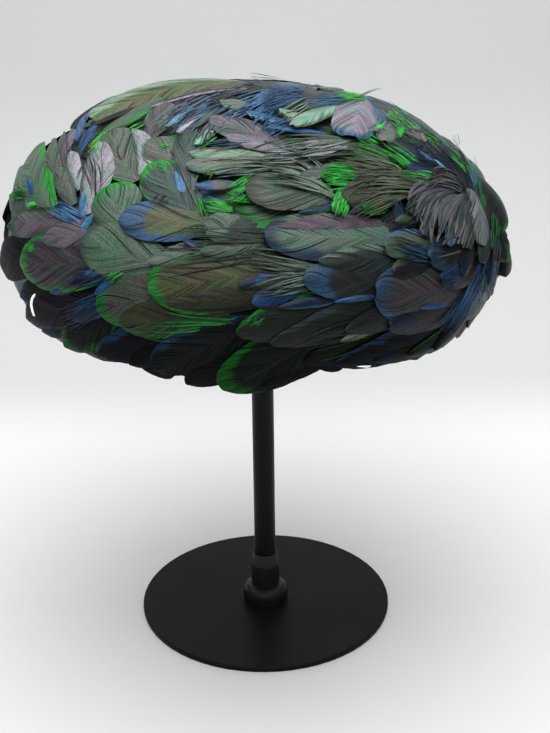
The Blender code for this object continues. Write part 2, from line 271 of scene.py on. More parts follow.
class Graph:
    """Adds nodes to a tree and joins them."""

    def __init__(self, tree: bpy.types.NodeTree) -> None:
        """Keeps the tree."""
        self.tree = tree

    def node(self, kind: str, **settings: object) -> bpy.types.Node:
        """Adds a node.

        Args:
            kind: the node's type.
            settings: its properties.

        Returns:
            The new node.
        """
        made = self.tree.nodes.new(kind)
        for name, value in settings.items():
            setattr(made, name, value)
        return made

    def feed(self, socket: bpy.types.NodeSocket, value: object) -> None:
        """Joins a node's value to a socket, or sets the socket's own.

        Args:
            socket: the socket.
            value: what it is given.
        """
        if isinstance(value, Value):
            self.tree.links.new(value.socket, socket)
        else:
            socket.default_value = value

    def make(self, kind: str, inputs: dict[str, object], **settings: object) -> Value:
        """Adds a node and feeds its inputs by name.

        Args:
            kind: the node's type.
            inputs: what its inputs are given.
            settings: its properties.

        Returns:
            Its first output.
        """
        made = self.node(kind, **settings)
        for name, value in inputs.items():
            self.feed(made.inputs[name], value)
        return Value(self, made.outputs[0])

    def named(self, sockets: bpy.types.bpy_prop_collection) -> dict[str, Value]:
        """Sockets by their names."""
        return {socket.name: Value(self, socket) for socket in sockets if socket.name}

    def given(self) -> dict[str, Value]:
        """What the tree itself is given."""
        return self.named(self.node("NodeGroupInput").outputs)

    def use(self, group: bpy.types.NodeTree, **inputs: object) -> dict[str, Value]:
        """Places a group.

        Args:
            group: the group.
            inputs: what it is given.

        Returns:
            What it puts out.
        """
        made = self.node("ShaderNodeGroup", node_tree=group)
        for name, value in inputs.items():
            self.feed(made.inputs[name], value)
        return self.named(made.outputs)

    def attribute(self, name: str, output: str = "Vector") -> Value:
        """Reads an attribute of the surface in a material."""
        return Value(self, self.node("ShaderNodeAttribute", attribute_name=name).outputs[output])

    def object_place(self) -> Value:
        """The object's own coordinates in a material."""
        return Value(self, self.node("ShaderNodeTexCoord").outputs["Object"])

    def math(self, operation: str, *values: object) -> Value:
        """Adds a Math node.

        Args:
            operation: what it does.
            values: its inputs.

        Returns:
            The result.
        """
        made = self.node("ShaderNodeMath", operation=operation)
        for socket, value in zip(made.inputs, values):
            self.feed(socket, value)
        return Value(self, made.outputs[0])

    def most(self, *values: Value) -> Value:
        """The largest of some values.

        Args:
            values: the values.

        Returns:
            The largest.
        """
        largest = values[0]
        for value in values[1:]:
            largest = self.math("MAXIMUM", largest, value)
        return largest

    def scaled(self, vector: Value, share: object) -> Value:
        """A vector made longer or shorter.

        Args:
            vector: the vector.
            share: how long it becomes, as a share.

        Returns:
            The new vector.
        """
        made = self.node("ShaderNodeVectorMath", operation="SCALE")
        self.feed(made.inputs[0], vector)
        self.feed(made.inputs["Scale"], share)
        return Value(self, made.outputs["Vector"])

    def vector(self, operation: str, *values: Value) -> Value:
        """Adds a Vector Math node.

        Args:
            operation: what it does.
            values: its vectors.

        Returns:
            The result.
        """
        made = self.node("ShaderNodeVectorMath", operation=operation)
        for socket, value in zip(made.inputs, values):
            self.feed(socket, value)
        return Value(self, made.outputs["Vector"])

    def split(self, vector: Value) -> list[Value]:
        """Takes a vector apart.

        Args:
            vector: the vector.

        Returns:
            Its three parts.
        """
        made = self.node("ShaderNodeSeparateXYZ")
        self.feed(made.inputs[0], vector)
        return [Value(self, socket) for socket in made.outputs]

    def join(self, x: object, y: object, z: object) -> Value:
        """A vector from three parts."""
        return self.make("ShaderNodeCombineXYZ", {"X": x, "Y": y, "Z": z})

    def ramp(self, value: Value, low: object, high: object, bottom: float = 0.0, top: float = 1.0) -> Value:
        """A smooth step from one value to another.

        Args:
            value: what is read.
            low: where the step starts.
            high: where it ends.
            bottom: the value before it.
            top: the value after it.

        Returns:
            The result.
        """
        made = self.node("ShaderNodeMapRange", interpolation_type="SMOOTHSTEP")
        names = ("Value", "From Min", "From Max", "To Min", "To Max")
        for name, given in zip(names, (value, low, high, bottom, top)):
            self.feed(made.inputs[name], given)
        return Value(self, made.outputs["Result"])

    def mix(self, share: object, first: object, second: object, blend: str = "MIX") -> Value:
        """Mixes two colours.

        Args:
            share: how much of the second shows.
            first: the colour below.
            second: the colour on top.
            blend: the way they mix.

        Returns:
            The colour.
        """
        made = self.node("ShaderNodeMix", data_type="RGBA", blend_type=blend)
        self.feed(made.inputs[0], share)
        for socket, value in ((made.inputs[6], first), (made.inputs[7], second)):
            self.feed(socket, (*value, 1.0) if isinstance(value, tuple) else value)
        return Value(self, made.outputs[2])

    def shaded(self, colour: object, shade: Value) -> Value:
        """A colour times a grey."""
        return self.mix(1.0, colour, self.join(shade, shade, shade), blend="MULTIPLY")

    def noise(self, vector: Value, scale: float, detail: float) -> Value:
        """A noise between 0 and 1, where it is read, how fine it is and how many finer layers it has."""
        return self.make("ShaderNodeTexNoise", {"Vector": vector, "Scale": scale, "Detail": detail})

    def bump(self, height: Value, strength: float, distance: float) -> Value:
        """The normal of a relief."""
        given = {"Height": height, "Strength": strength, "Distance": distance}
        return self.make("ShaderNodeBump", given)


def start_material(name: str) -> tuple[bpy.types.Material, Graph, bpy.types.Node]:
    """Starts a material.

    Args:
        name: its name.

    Returns:
        The material, its graph and its shader.
    """
    made = bpy.data.materials.new(name)
    made.use_nodes = True
    return made, Graph(made.node_tree), made.node_tree.nodes["Principled BSDF"]


def start_group(
    name: str, vectors: tuple[str, ...], numbers: tuple[str, ...], results: tuple[str, ...]
) -> bpy.types.ShaderNodeTree:
    """Starts a shader group.

    Args:
        name: its name.
        vectors: the names of the vectors that it reads.
        numbers: the names of the numbers that it reads.
        results: the names of the numbers that it puts out.

    Returns:
        The group, still empty.
    """
    tree = bpy.data.node_groups.new(name, "ShaderNodeTree")
    for label in vectors:
        tree.interface.new_socket(label, in_out="INPUT", socket_type="NodeSocketVector")
    for label in numbers:
        tree.interface.new_socket(label, in_out="INPUT", socket_type="NodeSocketFloat")
    for label in results:
        tree.interface.new_socket(label, in_out="OUTPUT", socket_type="NodeSocketFloat")
    return tree


def link(name: str, data: bpy.types.ID) -> bpy.types.Object:
    """Puts data into the scene as an object.

    Args:
        name: the object's name.
        data: its mesh, lamp or camera.

    Returns:
        The object.
    """
    made = bpy.data.objects.new(name, data)
    bpy.context.scene.collection.objects.link(made)
    return made


@dataclass(frozen=True)
class CameraView:
    """The photograph's camera, solved from the disc, the post and the collar."""

    place: tuple[float, float, float] = (0.0013, -0.7345, 0.4703)
    yaw: float = math.radians(0.43)
    pitch: float = math.radians(23.76)
    roll: float = math.radians(-0.66)
    focal_pixels: float = 1500.0
    sensor: float = 36.0
    nearest: float = 0.01
    furthest: float = 50.0

    def axes(self) -> tuple[Vector, Vector, Vector]:
        """Works out the camera's directions before its roll.

        Returns:
            Its right, its up and its forward direction.
        """
        level = math.cos(self.pitch)
        forward = Vector((math.sin(self.yaw) * level, math.cos(self.yaw) * level, -math.sin(self.pitch)))
        right = Vector((math.cos(self.yaw), -math.sin(self.yaw), 0.0))
        return right, right.cross(forward), forward

    def ray(self, pixel: Pixel) -> Vector:
        """The direction in which a pixel of the photograph looks.

        Args:
            pixel: its place, from the upper left corner.

        Returns:
            The direction, of length 1.
        """
        right, up, forward = self.axes()
        x = pixel[0] - PHOTO_WIDTH / 2.0
        y = pixel[1] - PHOTO_HEIGHT / 2.0
        across = math.cos(self.roll) * x + math.sin(self.roll) * y
        down = -math.sin(self.roll) * x + math.cos(self.roll) * y
        return (forward + right * (across / self.focal_pixels) - up * (down / self.focal_pixels)).normalized()

    def pixel(self, point: Vector) -> Pixel:
        """The pixel of the photograph that shows a point of the frame.

        Args:
            point: the point.

        Returns:
            Its place, from the upper left corner.
        """
        right, up, forward = self.axes()
        away = point - Vector(self.place)
        scale = self.focal_pixels / away.dot(forward)
        across, down = away.dot(right) * scale, -away.dot(up) * scale
        x = math.cos(self.roll) * across - math.sin(self.roll) * down
        y = math.sin(self.roll) * across + math.cos(self.roll) * down
        return (x + PHOTO_WIDTH / 2.0, y + PHOTO_HEIGHT / 2.0)

    def build(self) -> None:
        """Makes the scene's camera."""
        right, up, forward = self.axes()
        rolled_right = right * math.cos(self.roll) + up * math.sin(self.roll)
        rolled_up = up * math.cos(self.roll) - right * math.sin(self.roll)
        turn = Matrix((rolled_right, rolled_up, -forward)).transposed().to_4x4()
        data = bpy.data.cameras.new("camera")
        data.sensor_width = self.sensor
        data.lens = self.sensor * self.focal_pixels / PHOTO_HEIGHT
        data.clip_start = self.nearest
        data.clip_end = self.furthest
        camera = link("camera", data)
        camera.matrix_world = Matrix.Translation(Vector(self.place)) @ turn
        bpy.context.scene.camera = camera


@dataclass(frozen=True)
class Dome:
    """The hat's cap as the part has it. Points and directions are the hat's own unless named otherwise."""

    centre: tuple[float, float, float] = (-0.002, 0.0, 0.2184)
    tilt: tuple[float, float, float] = (math.radians(9.2), math.radians(0.8), 0.0)
    half_width: float = 0.122
    half_depth: float = 0.112
    rise: float = 0.0662
    drop: float = 0.050
    squareness: float = 2.24
    whorl: tuple[float, float, float] = (0.099, -0.034, 0.0465)
    far_end: tuple[float, float, float] = (-0.126, -0.029, 0.003)
    whorl_fall: float = 6.0
    whorl_fall_reach: float = 0.045
    whorl_core: float = 0.004
    far_core: float = 0.02
    rim_from: float = 0.03
    furthest: float = 0.014
    search_steps: int = 120
    search_step: float = 0.0015
    search_room: float = 0.4
    height_turns: int = 30
    ray_turns: int = 40

    def seat(self) -> Matrix:
        """The hat's place in the frame."""
        return Matrix.Translation(Vector(self.centre)) @ Euler(self.tilt).to_matrix().to_4x4()

    def share(self, point: Vector, height: float) -> float:
        """How far out a point lies.

        Args:
            point: the point.
            height: how high over the cap it is judged.

        Returns:
            1 on the dome that lies this high over the cap, and more outside it.
        """
        rise = self.rise if point.z > 0.0 else self.drop
        across = math.hypot(point.x / (self.half_width + height), point.y / (self.half_depth + height))
        upward = abs(point.z) / (rise + height)
        return (across**self.squareness + upward**self.squareness) ** (1.0 / self.squareness)

    def at(self, direction: Vector, height: float) -> Vector:
        """The point in a direction from the hat's centre that lies this far over the cap."""
        ray = direction.normalized()
        return ray / self.share(ray, height)

    def normal(self, point: Vector) -> Vector:
        """The cap's outward direction near a point.

        Args:
            point: a point on or near the cap.

        Returns:
            The direction, of length 1.
        """
        rise = self.rise if point.z > 0.0 else self.drop
        across = math.hypot(point.x / self.half_width, point.y / self.half_depth)
        slope = max(across, 1e-6) ** (self.squareness - 2.0)
        upward = (abs(point.z) / rise) ** (self.squareness - 1.0) / rise
        x = slope * point.x / self.half_width**2
        y = slope * point.y / self.half_depth**2
        return Vector((x, y, math.copysign(upward, point.z))).normalized()

    def step(self, point: Vector, heading: Vector, distance: float) -> tuple[Vector, Vector]:
        """A step over the cap.

        Args:
            point: where it starts.
            heading: its direction.
            distance: its length.

        Returns:
            The new point, and the heading carried along.
        """
        normal = self.normal(point)
        flat = (heading - normal * heading.dot(normal)).normalized()
        moved = self.at(point + flat * distance, 0.0)
        turned = self.normal(moved)
        return moved, (flat - turned * flat.dot(turned)).normalized()

    def seen_at(self, view: CameraView, pixel: Pixel, height: float) -> tuple[Vector, float]:
        """The point of the dome, this high over the cap, that a pixel of the photograph shows.

        Args:
            view: the camera.
            pixel: the place in the photograph.
            height: how far over the cap the surface lies.

        Returns:
            The point and its height. Where the pixel looks past the dome, the point that it passes nearest.
        """
        unseat = self.seat().inverted()
        origin = unseat @ Vector(view.place)
        ray = unseat.to_3x3() @ view.ray(pixel)
        middle = -origin.dot(ray)
        nearest, best = middle, math.inf
        for number in range(-self.search_steps, self.search_steps + 1):
            along = middle + number * self.search_step
            out = self.share(origin + ray * along, height)
            if out < best:
                nearest, best = along, out
        if best >= 1.0:
            point = origin + ray * nearest
            top = height + self.furthest
            level, _ = halve(lambda over: self.share(point, over) > 1.0, height, top, self.height_turns)
            return point, level
        outside = nearest - self.search_room
        _, along = halve(
            lambda far: self.share(origin + ray * far, height) > 1.0, outside, nearest, self.ray_turns
        )
        return origin + ray * along, height

    def flow(self, point: Vector, droop: float) -> Vector:
        """The way a feather lies.

        Args:
            point: where it is on the cap.
            droop: how much it is turned down.

        Returns:
            Its direction, from root to tip.
        """
        normal = self.normal(point)
        away = point - self.at(Vector(self.whorl), 0.0)
        onward = self.at(Vector(self.far_end), 0.0) - point
        course = away.normalized() / max(away.length, self.whorl_core)
        course += onward.normalized() / max(onward.length, self.far_core)
        course -= normal * course.dot(normal)
        down = Vector((0.0, 0.0, -1.0))
        down -= normal * down.dot(normal)
        near = math.exp(-((away.length / self.whorl_fall_reach) ** 2))
        fall = self.whorl_fall * near * nearness(point.z, self.rim_from)
        return (course.normalized() + down * (droop + fall)).normalized()


@dataclass(frozen=True)
class VaneShape:
    """The outline and relief of one kind of vane, one long and one wide."""

    kind: Shape
    rows: int
    columns: int
    root: float
    widest: float
    blunt: float
    arch: float
    notches: tuple[tuple[float, float, float], ...] = ()
    fray: float = 0.0
    reach: float = 0.992
    crowding: float = 1.15
    frayed_from: float = 0.6
    notched_from: float = 0.4
    notch_slant: float = 0.12
    notch_half: float = 0.035
    long_beat: tuple[float, float] = (2.4, 1.7)
    short_beat: tuple[float, float] = (1.3, 0.6)
    root_relief: float = 0.4

    def ragged(self, row: int, across: float) -> float:
        """How ragged the edge is, where the barbs part.

        Args:
            row: the row along the vane.
            across: the place across it, -1 to 1.

        Returns:
            The share of the half width that is left.
        """
        if abs(across) < self.frayed_from:
            return 1.0
        beat = math.sin(self.long_beat[0] * row + self.long_beat[1] * across)
        beat *= math.sin(self.short_beat[0] * row + self.short_beat[1])
        return 1.0 - self.fray * (0.5 + 0.5 * beat)

    def half(self, along: float) -> float:
        """Half the vane's width.

        Args:
            along: the share of its length.

        Returns:
            The half width.
        """
        if along < self.widest:
            swell = math.sin(math.pi / 2.0 * along / self.widest)
            return 0.5 * (self.root + (1.0 - self.root) * swell)
        share = (along - self.widest) / (1.0 - self.widest)
        return 0.5 * (1.0 - share**self.blunt) ** (1.0 / self.blunt)

    def build(self, collection: bpy.types.Collection) -> None:
        """Makes the vane's mesh, with its place across and along, and its relief, as attributes.

        Args:
            collection: the collection that it goes into.
        """
        points, marks, reliefs, faces = [], [], [], []
        for row in range(self.rows + 1):
            along = self.reach * math.sin(math.pi / 2.0 * row / self.rows) ** self.crowding
            for column in range(self.columns + 1):
                across = 2.0 * column / self.columns - 1.0
                half = self.half(along) * self.ragged(row, across)
                for side, place, depth in self.notches:
                    slant = along - self.notch_slant * (1.0 - abs(across))
                    cut = max(0.0, 1.0 - abs(slant - place) / self.notch_half)
                    if side * across > self.notched_from:
                        half *= 1.0 - depth * cut
                points.append((across * half, along, 0.0))
                marks += (across, along, 0.0)
                swell = self.root_relief + (1.0 - self.root_relief) * along
                reliefs.append(self.arch * (1.0 - across * across) * swell)
        wide = self.columns + 1
        for row in range(self.rows):
            for column in range(self.columns):
                first = row * wide + column
                faces.append((first, first + 1, first + wide + 1, first + wide))
        name = self.kind.name.lower()
        mesh = bpy.data.meshes.new(name)
        mesh.from_pydata(points, [], faces)
        mesh.attributes.new("vane", "FLOAT_VECTOR", "POINT").data.foreach_set("vector", marks)
        mesh.attributes.new("relief", "FLOAT", "POINT").data.foreach_set("value", reliefs)
        collection.objects.link(bpy.data.objects.new(f"vane_{self.kind.value}_{name}", mesh))


SPLIT_NOTCHES = ((1.0, 0.40, 0.42), (-1.0, 0.52, 0.40), (1.0, 0.66, 0.5), (-1.0, 0.8, 0.45), (1.0, 0.88, 0.5))
PLAIN_NOTCHES = ((1.0, 0.6, 0.3), (-1.0, 0.8, 0.3))
VANE_SHAPES = (
    VaneShape(Shape.ROUND, 20, 8, 0.42, 0.56, 2.2, arch=0.0017, fray=0.05),
    VaneShape(Shape.BLUNT, 20, 8, 0.50, 0.68, 2.7, arch=0.0018, fray=0.05),
    VaneShape(Shape.LONG, 18, 6, 0.40, 0.42, 1.7, arch=0.0012, fray=0.10),
    VaneShape(Shape.SPLIT, 26, 8, 0.42, 0.56, 1.9, arch=0.0014, fray=0.10, notches=SPLIT_NOTCHES),
    VaneShape(Shape.PLAIN, 8, 4, 0.42, 0.58, 2.2, arch=0.0014),
    VaneShape(Shape.PLAIN_SPLIT, 9, 4, 0.40, 0.50, 2.0, arch=0.0014, notches=PLAIN_NOTCHES),
    VaneShape(Shape.STRAND, 8, 2, 0.6, 0.3, 1.25, arch=0.0002),
)


class Plumage:
    """Lays vanes on the dome with one Geometry Nodes tree."""

    ripple_scale: float = 45.0
    rise_curve: float = 0.8
    golden_share: float = 0.618

    def __init__(self, dome: Dome) -> None:
        """Builds the shapes and the tree.

        Args:
            dome: the cap that they lie on.
        """
        self.dome = dome
        self.shapes = bpy.data.collections.new("vane_shapes")
        for shape in VANE_SHAPES:
            shape.build(self.shapes)
        self.tree = bpy.data.node_groups.new("lay_feathers", "GeometryNodeTree")
        self.sockets: dict[str, str] = {}
        self.build_tree()

    def add_input(self, name: str, kind: str) -> None:
        """Adds a named input to the tree."""
        made = self.tree.interface.new_socket(name, in_out="INPUT", socket_type=kind)
        self.sockets[name] = made.identifier

    def read(self, graph: Graph, name: str, kind: str = "FLOAT_VECTOR") -> Value:
        """Reads an attribute in the tree.

        Args:
            graph: the tree's graph.
            name: the attribute.
            kind: what it holds.

        Returns:
            Its value.
        """
        made = graph.node("GeometryNodeInputNamedAttribute", data_type=kind)
        made.inputs["Name"].default_value = name
        return Value(graph, made.outputs["Attribute"])

    def build_tree(self) -> None:
        """Builds the tree: vanes on points, bent sideways, then wrapped on the dome at their heights."""
        self.add_input("Feathers", "NodeSocketGeometry")
        self.add_input("Shapes", "NodeSocketCollection")
        for name in ("Half width", "Half depth", "Rise", "Drop", "Squareness", "Unevenness"):
            self.add_input(name, "NodeSocketFloat")
        self.add_input("Finish", "NodeSocketMaterial")
        self.tree.interface.new_socket("Feathers", in_out="OUTPUT", socket_type="NodeSocketGeometry")
        graph = Graph(self.tree)
        given = graph.given()

        shapes = {"Collection": given["Shapes"], "Separate Children": True}
        points = {
            "Points": given["Feathers"],
            "Instance": graph.make("GeometryNodeCollectionInfo", shapes),
            "Pick Instance": True,
            "Instance Index": self.read(graph, "shape", "INT"),
            "Rotation": graph.make("FunctionNodeEulerToRotation", {"Euler": self.read(graph, "turn")}),
            "Scale": self.read(graph, "size"),
        }
        vanes = {"Geometry": graph.make("GeometryNodeInstanceOnPoints", points)}
        vanes = graph.make("GeometryNodeRealizeInstances", vanes)

        across, along, _ = graph.split(self.read(graph, "vane"))
        base, rise, twist = graph.split(self.read(graph, "levels"))
        crest, arch, _ = graph.split(self.read(graph, "form"))
        bend = (1.0 - along) * (along * 4.0)
        place = graph.make("GeometryNodeInputPosition", {})
        place = graph.vector("ADD", place, graph.scaled(self.read(graph, "sweep"), bend))
        ripple = (graph.noise(place, self.ripple_scale, 1.0) - 0.5) * given["Unevenness"] * along
        height = base + rise * along**self.rise_curve + twist * across * along
        height = height + arch * self.read(graph, "relief", "FLOAT") + crest * bend + ripple

        way = graph.vector("NORMALIZE", place)
        x, y, z = graph.split(way)
        above = graph.math("GREATER_THAN", z, 0.0)
        reach_up = above * (given["Rise"] - given["Drop"]) + given["Drop"] + height
        x = x / (given["Half width"] + height)
        y = y / (given["Half depth"] + height)
        flat = graph.math("SQRT", x * x + y * y) ** given["Squareness"]
        upward = (abs(z) / reach_up) ** given["Squareness"]
        reach = (flat + upward) ** (-1.0 / given["Squareness"])

        moved = {"Geometry": vanes, "Position": graph.scaled(way, reach)}
        smooth = {"Geometry": graph.make("GeometryNodeSetPosition", moved)}
        finish = {"Geometry": graph.make("GeometryNodeSetShadeSmooth", smooth), "Material": given["Finish"]}
        done = graph.make("GeometryNodeSetMaterial", finish)
        graph.feed(graph.node("NodeGroupOutput").inputs[0], done)

    def guide(self, name: str, rows: list[Row]) -> bpy.types.Mesh:
        """Makes the points that the vanes are laid on, with what the tree and the finish read.

        Args:
            name: the piece's name.
            rows: the vanes.

        Returns:
            The points.
        """
        made = bpy.data.meshes.new(f"{name}_quills")
        made.from_pydata([row.quill for row in rows], [], [])
        sides = [row.heading.cross(row.normal).normalized() for row in rows]
        numbers = [(place * self.golden_share) % 1.0 for place in range(len(rows))]
        turns = [Matrix((side, row.heading, row.normal)) for side, row in zip(sides, rows)]
        vectors = {
            "turn": [turn.transposed().to_euler() for turn in turns],
            "sweep": [side * (row.bow * row.length) for side, row in zip(sides, rows)],
            "size": [(row.width, row.length, 1.0) for row in rows],
            "levels": [(row.base, row.rise, row.twist) for row in rows],
            "bands": [tuple(band or NO_BAND for band in row.bands) for row in rows],
            # The dyes are scaled by the tone, which is partly the feather's own dye and partly painted shade.
            "body": [Vector(row.body.value) * row.tone for row in rows],
            "rim": [Vector(row.rim.value) * row.tone for row in rows],
            "mark": [(number, row.pale_quill * row.tone, 0.0) for number, row in zip(numbers, rows)],
            "form": [(row.crest, row.arch, row.tone) for row in rows],
        }
        for label, values in vectors.items():
            stored = made.attributes.new(label, "FLOAT_VECTOR", "POINT")
            stored.data.foreach_set("vector", [part for value in values for part in value])
        shape = made.attributes.new("shape", "INT", "POINT")
        shape.data.foreach_set("value", [row.shape.value for row in rows])
        return made

    def lay(self, name: str, rows: list[Row], finish: bpy.types.Material, uneven: float) -> bpy.types.Object:
        """Lays rows of vanes as one piece.

        Args:
            name: the piece's name.
            rows: the vanes.
            finish: their material.
            uneven: how far their tips wander up and down.

        Returns:
            The piece, a plain mesh in the frame's place.
        """
        holder = link(f"{name}_guide", self.guide(name, rows))
        laid = holder.modifiers.new("lay", "NODES")
        laid.node_group = self.tree
        values = {
            "Shapes": self.shapes,
            "Half width": self.dome.half_width,
            "Half depth": self.dome.half_depth,
            "Rise": self.dome.rise,
            "Drop": self.dome.drop,
            "Squareness": self.dome.squareness,
            "Unevenness": uneven,
            "Finish": finish,
        }
        for label, value in values.items():
            laid[self.sockets[label]] = value
        bpy.context.view_layer.update()
        graph = bpy.context.evaluated_depsgraph_get()
        mesh = bpy.data.meshes.new_from_object(holder.evaluated_get(graph))
        mesh.transform(self.dome.seat())
        bpy.data.objects.remove(holder)
        return link(name, mesh)


@dataclass(frozen=True)
class FeatherFinish:
    """Dyed vanes: soft barbs that slant from the quill, a second dye at the tip or along an edge."""

    name: str
    roughness: float
    sheen: float
    contrast: float
    gloss: float
    speckle: float
    darkest: float = 0.05
    tone_range: tuple[float, float] = (0.2, 0.7)
    dark_contrast: float = 1.5
    streak_range: tuple[float, float] = (0.22, 0.68)
    rough_range: tuple[float, float] = (0.2, 0.8)
    rougher: float = 0.1
    smoother: float = 0.08
    speck_pale: float = 0.3
    cool: Colour = (0.76, 1.05, 0.92)
    warm: Colour = (1.12, 0.95, 1.06)
    quill: Colour = linear(168, 166, 158)
    sheen_tint: Colour = (0.72, 0.74, 0.80)
    sheen_roughness: float = 0.4
    relief_strength: float = 0.55
    relief_depth: float = 0.0005

    def build(self, barbs: bpy.types.ShaderNodeTree) -> bpy.types.Material:
        """Makes the material.

        Args:
            barbs: the shared group that draws the barbs and the edge dye.

        Returns:
            The material.
        """
        made, graph, shader = start_material(self.name)
        vane = {label: graph.attribute(label.lower()) for label in ("Vane", "Size", "Bands", "Mark")}
        drawn = graph.use(barbs, **vane)
        # Green and mauve patches from a noise: partly the feathers' own mottling, partly painted iridescent
        # sheen.
        sheen = graph.mix(drawn["Cloud"], self.cool, self.warm)
        body = graph.mix(1.0, graph.attribute("body", "Color"), sheen, blend="MULTIPLY")
        dyed = graph.mix(drawn["Edge"], body, graph.attribute("rim", "Color"))
        pale = 1.0 + self.speck_pale * self.speckle
        dyed = graph.shaded(dyed, graph.ramp(drawn["Speck"], 0.0, 1.0, pale, 1.0 - self.speckle))
        tone = graph.split(graph.attribute("form"))[2]
        depth = graph.ramp(tone, *self.tone_range, self.dark_contrast * self.contrast, self.contrast)
        streak = graph.ramp(drawn["Streak"], *self.streak_range, -1.0, 1.0) * depth
        dyed = graph.shaded(dyed, graph.math("MAXIMUM", streak + 1.0, self.darkest))
        graph.feed(shader.inputs["Base Color"], graph.mix(drawn["Quill"], dyed, self.quill))
        dull, smooth = self.roughness + self.rougher, self.roughness - self.smoother
        graph.feed(shader.inputs["Roughness"], graph.ramp(drawn["Streak"], *self.rough_range, dull, smooth))
        shader.inputs["Sheen Weight"].default_value = self.sheen
        shader.inputs["Sheen Roughness"].default_value = self.sheen_roughness
        shader.inputs["Sheen Tint"].default_value = (*self.sheen_tint, 1.0)
        shader.inputs["Specular IOR Level"].default_value = self.gloss
        bump = graph.bump(drawn["Relief"], self.relief_strength, self.relief_depth)
        graph.feed(shader.inputs["Normal"], bump)
        return made


@dataclass(frozen=True)
class BarbPattern:
    """The shared pattern of a vane. Its scales are along the barbs and across them, per millimetre."""

    slant: float = 2.1
    broad: tuple[float, float] = (0.20, 0.05)
    fine: tuple[float, float] = (0.95, 0.08)
    gaps: tuple[float, float] = (0.42, 0.03)
    cloud: tuple[float, float] = (0.10, 0.12)
    speck: tuple[float, float] = (1.1, 1.8)
    feather_spread: float = 97.0
    side_spread: float = 3.0
    cloud_range: tuple[float, float] = (0.36, 0.64)
    speck_range: tuple[float, float] = (0.46, 0.62)
    crack_range: tuple[float, float] = (0.60, 0.68)
    crack_from_quill: tuple[float, float] = (0.6, 3.0)
    crack_depth: float = 0.5
    crack_relief: float = 0.8
    broad_relief: float = 0.8
    quill_half: tuple[float, float] = (0.15, 0.45)
    quill_end: tuple[float, float] = (0.75, 0.95)
    tip_soft: tuple[float, float] = (0.07, 0.05)
    side_soft: tuple[float, float] = (0.16, 0.10)
    tip_curve: float = 0.12
    tip_stray: float = 0.10
    side_stray: float = 0.25
    patch_scale: float = 5.0
    patch_depth: float = 0.7

    def build(self) -> bpy.types.ShaderNodeTree:
        """Makes the group.

        Returns:
            A group that reads a vane's attributes and puts out its streaks, relief, edge dye, quill, clouds
            and specks.
        """
        results = ("Streak", "Relief", "Edge", "Quill", "Cloud", "Speck")
        tree = start_group("barbs", ("Vane", "Size", "Bands", "Mark"), (), results)
        graph = Graph(tree)
        given = graph.given()
        put = graph.node("NodeGroupOutput").inputs
        across, along, _ = graph.split(given["Vane"])
        width, length, _ = graph.split(given["Size"])
        tip, left, right = graph.split(given["Bands"])
        number, pale, _ = graph.split(given["Mark"])

        half = width * (0.5 / MILLIMETRE)
        out = abs(across) * half
        sideways = across * half
        way = along * (length * (1.0 / MILLIMETRE))
        barb = way - out * self.slant
        own = number * self.feather_spread + graph.math("SIGN", across) * self.side_spread

        def draw(first: Value, second: Value, scales: tuple[float, float], detail: float) -> Value:
            """A noise that each side of each vane has of its own."""
            return graph.noise(graph.join(first * scales[0], second * scales[1], own), 1.0, detail)

        broad = draw(barb, out, self.broad, 2.0)
        fine = draw(barb, out, self.fine, 2.0)
        crack = graph.ramp(draw(barb, out, self.gaps, 1.0), *self.crack_range)
        crack = crack * graph.ramp(out, *self.crack_from_quill)
        graph.feed(put["Cloud"], graph.ramp(draw(way, sideways, self.cloud, 1.0), *self.cloud_range))
        graph.feed(put["Speck"], graph.ramp(draw(way, sideways, self.speck, 2.0), *self.speck_range))
        graph.feed(put["Streak"], broad * 0.5 + fine * 0.5 - crack * self.crack_depth)
        relief = fine * 0.5 + broad * self.broad_relief - crack * self.crack_relief
        graph.feed(put["Relief"], relief)

        stray = broad - 0.5
        reach = along + across * across * self.tip_curve + stray * self.tip_stray
        masks = [graph.ramp(reach, 1.0 - tip - self.tip_soft[0], 1.0 - tip + self.tip_soft[1])]
        patchy = graph.noise(graph.join(along * self.patch_scale, across, own), 1.0, 1.0) - 0.5
        wander = stray * self.side_stray + patchy * self.patch_depth
        for sign, band in ((-1.0, left), (1.0, right)):
            reach = across * sign + wander
            low, high = 1.0 - band - self.side_soft[0], 1.0 - band + self.side_soft[1]
            masks.append(graph.ramp(reach, low, high))
        graph.feed(put["Edge"], graph.most(*masks))
        quill = graph.ramp(out, *self.quill_half, 1.0, 0.0) * graph.ramp(along, *self.quill_end, 1.0, 0.0)
        graph.feed(put["Quill"], quill * pale)
        return tree


NO_BAND = -0.4
HEM_LINE = (
    (0, 274), (20, 301), (40, 331), (66, 349), (98, 358), (128, 365), (152, 370), (186, 382), (221, 387),
    (256, 389), (280, 381), (302, 371), (336, 367), (380, 365), (408, 357), (440, 347), (460, 333),
    (480, 314), (500, 286), (515, 266),
)
ROUND, BLUNT, LONG, SPLIT = Shape.ROUND, Shape.BLUNT, Shape.LONG, Shape.SPLIT
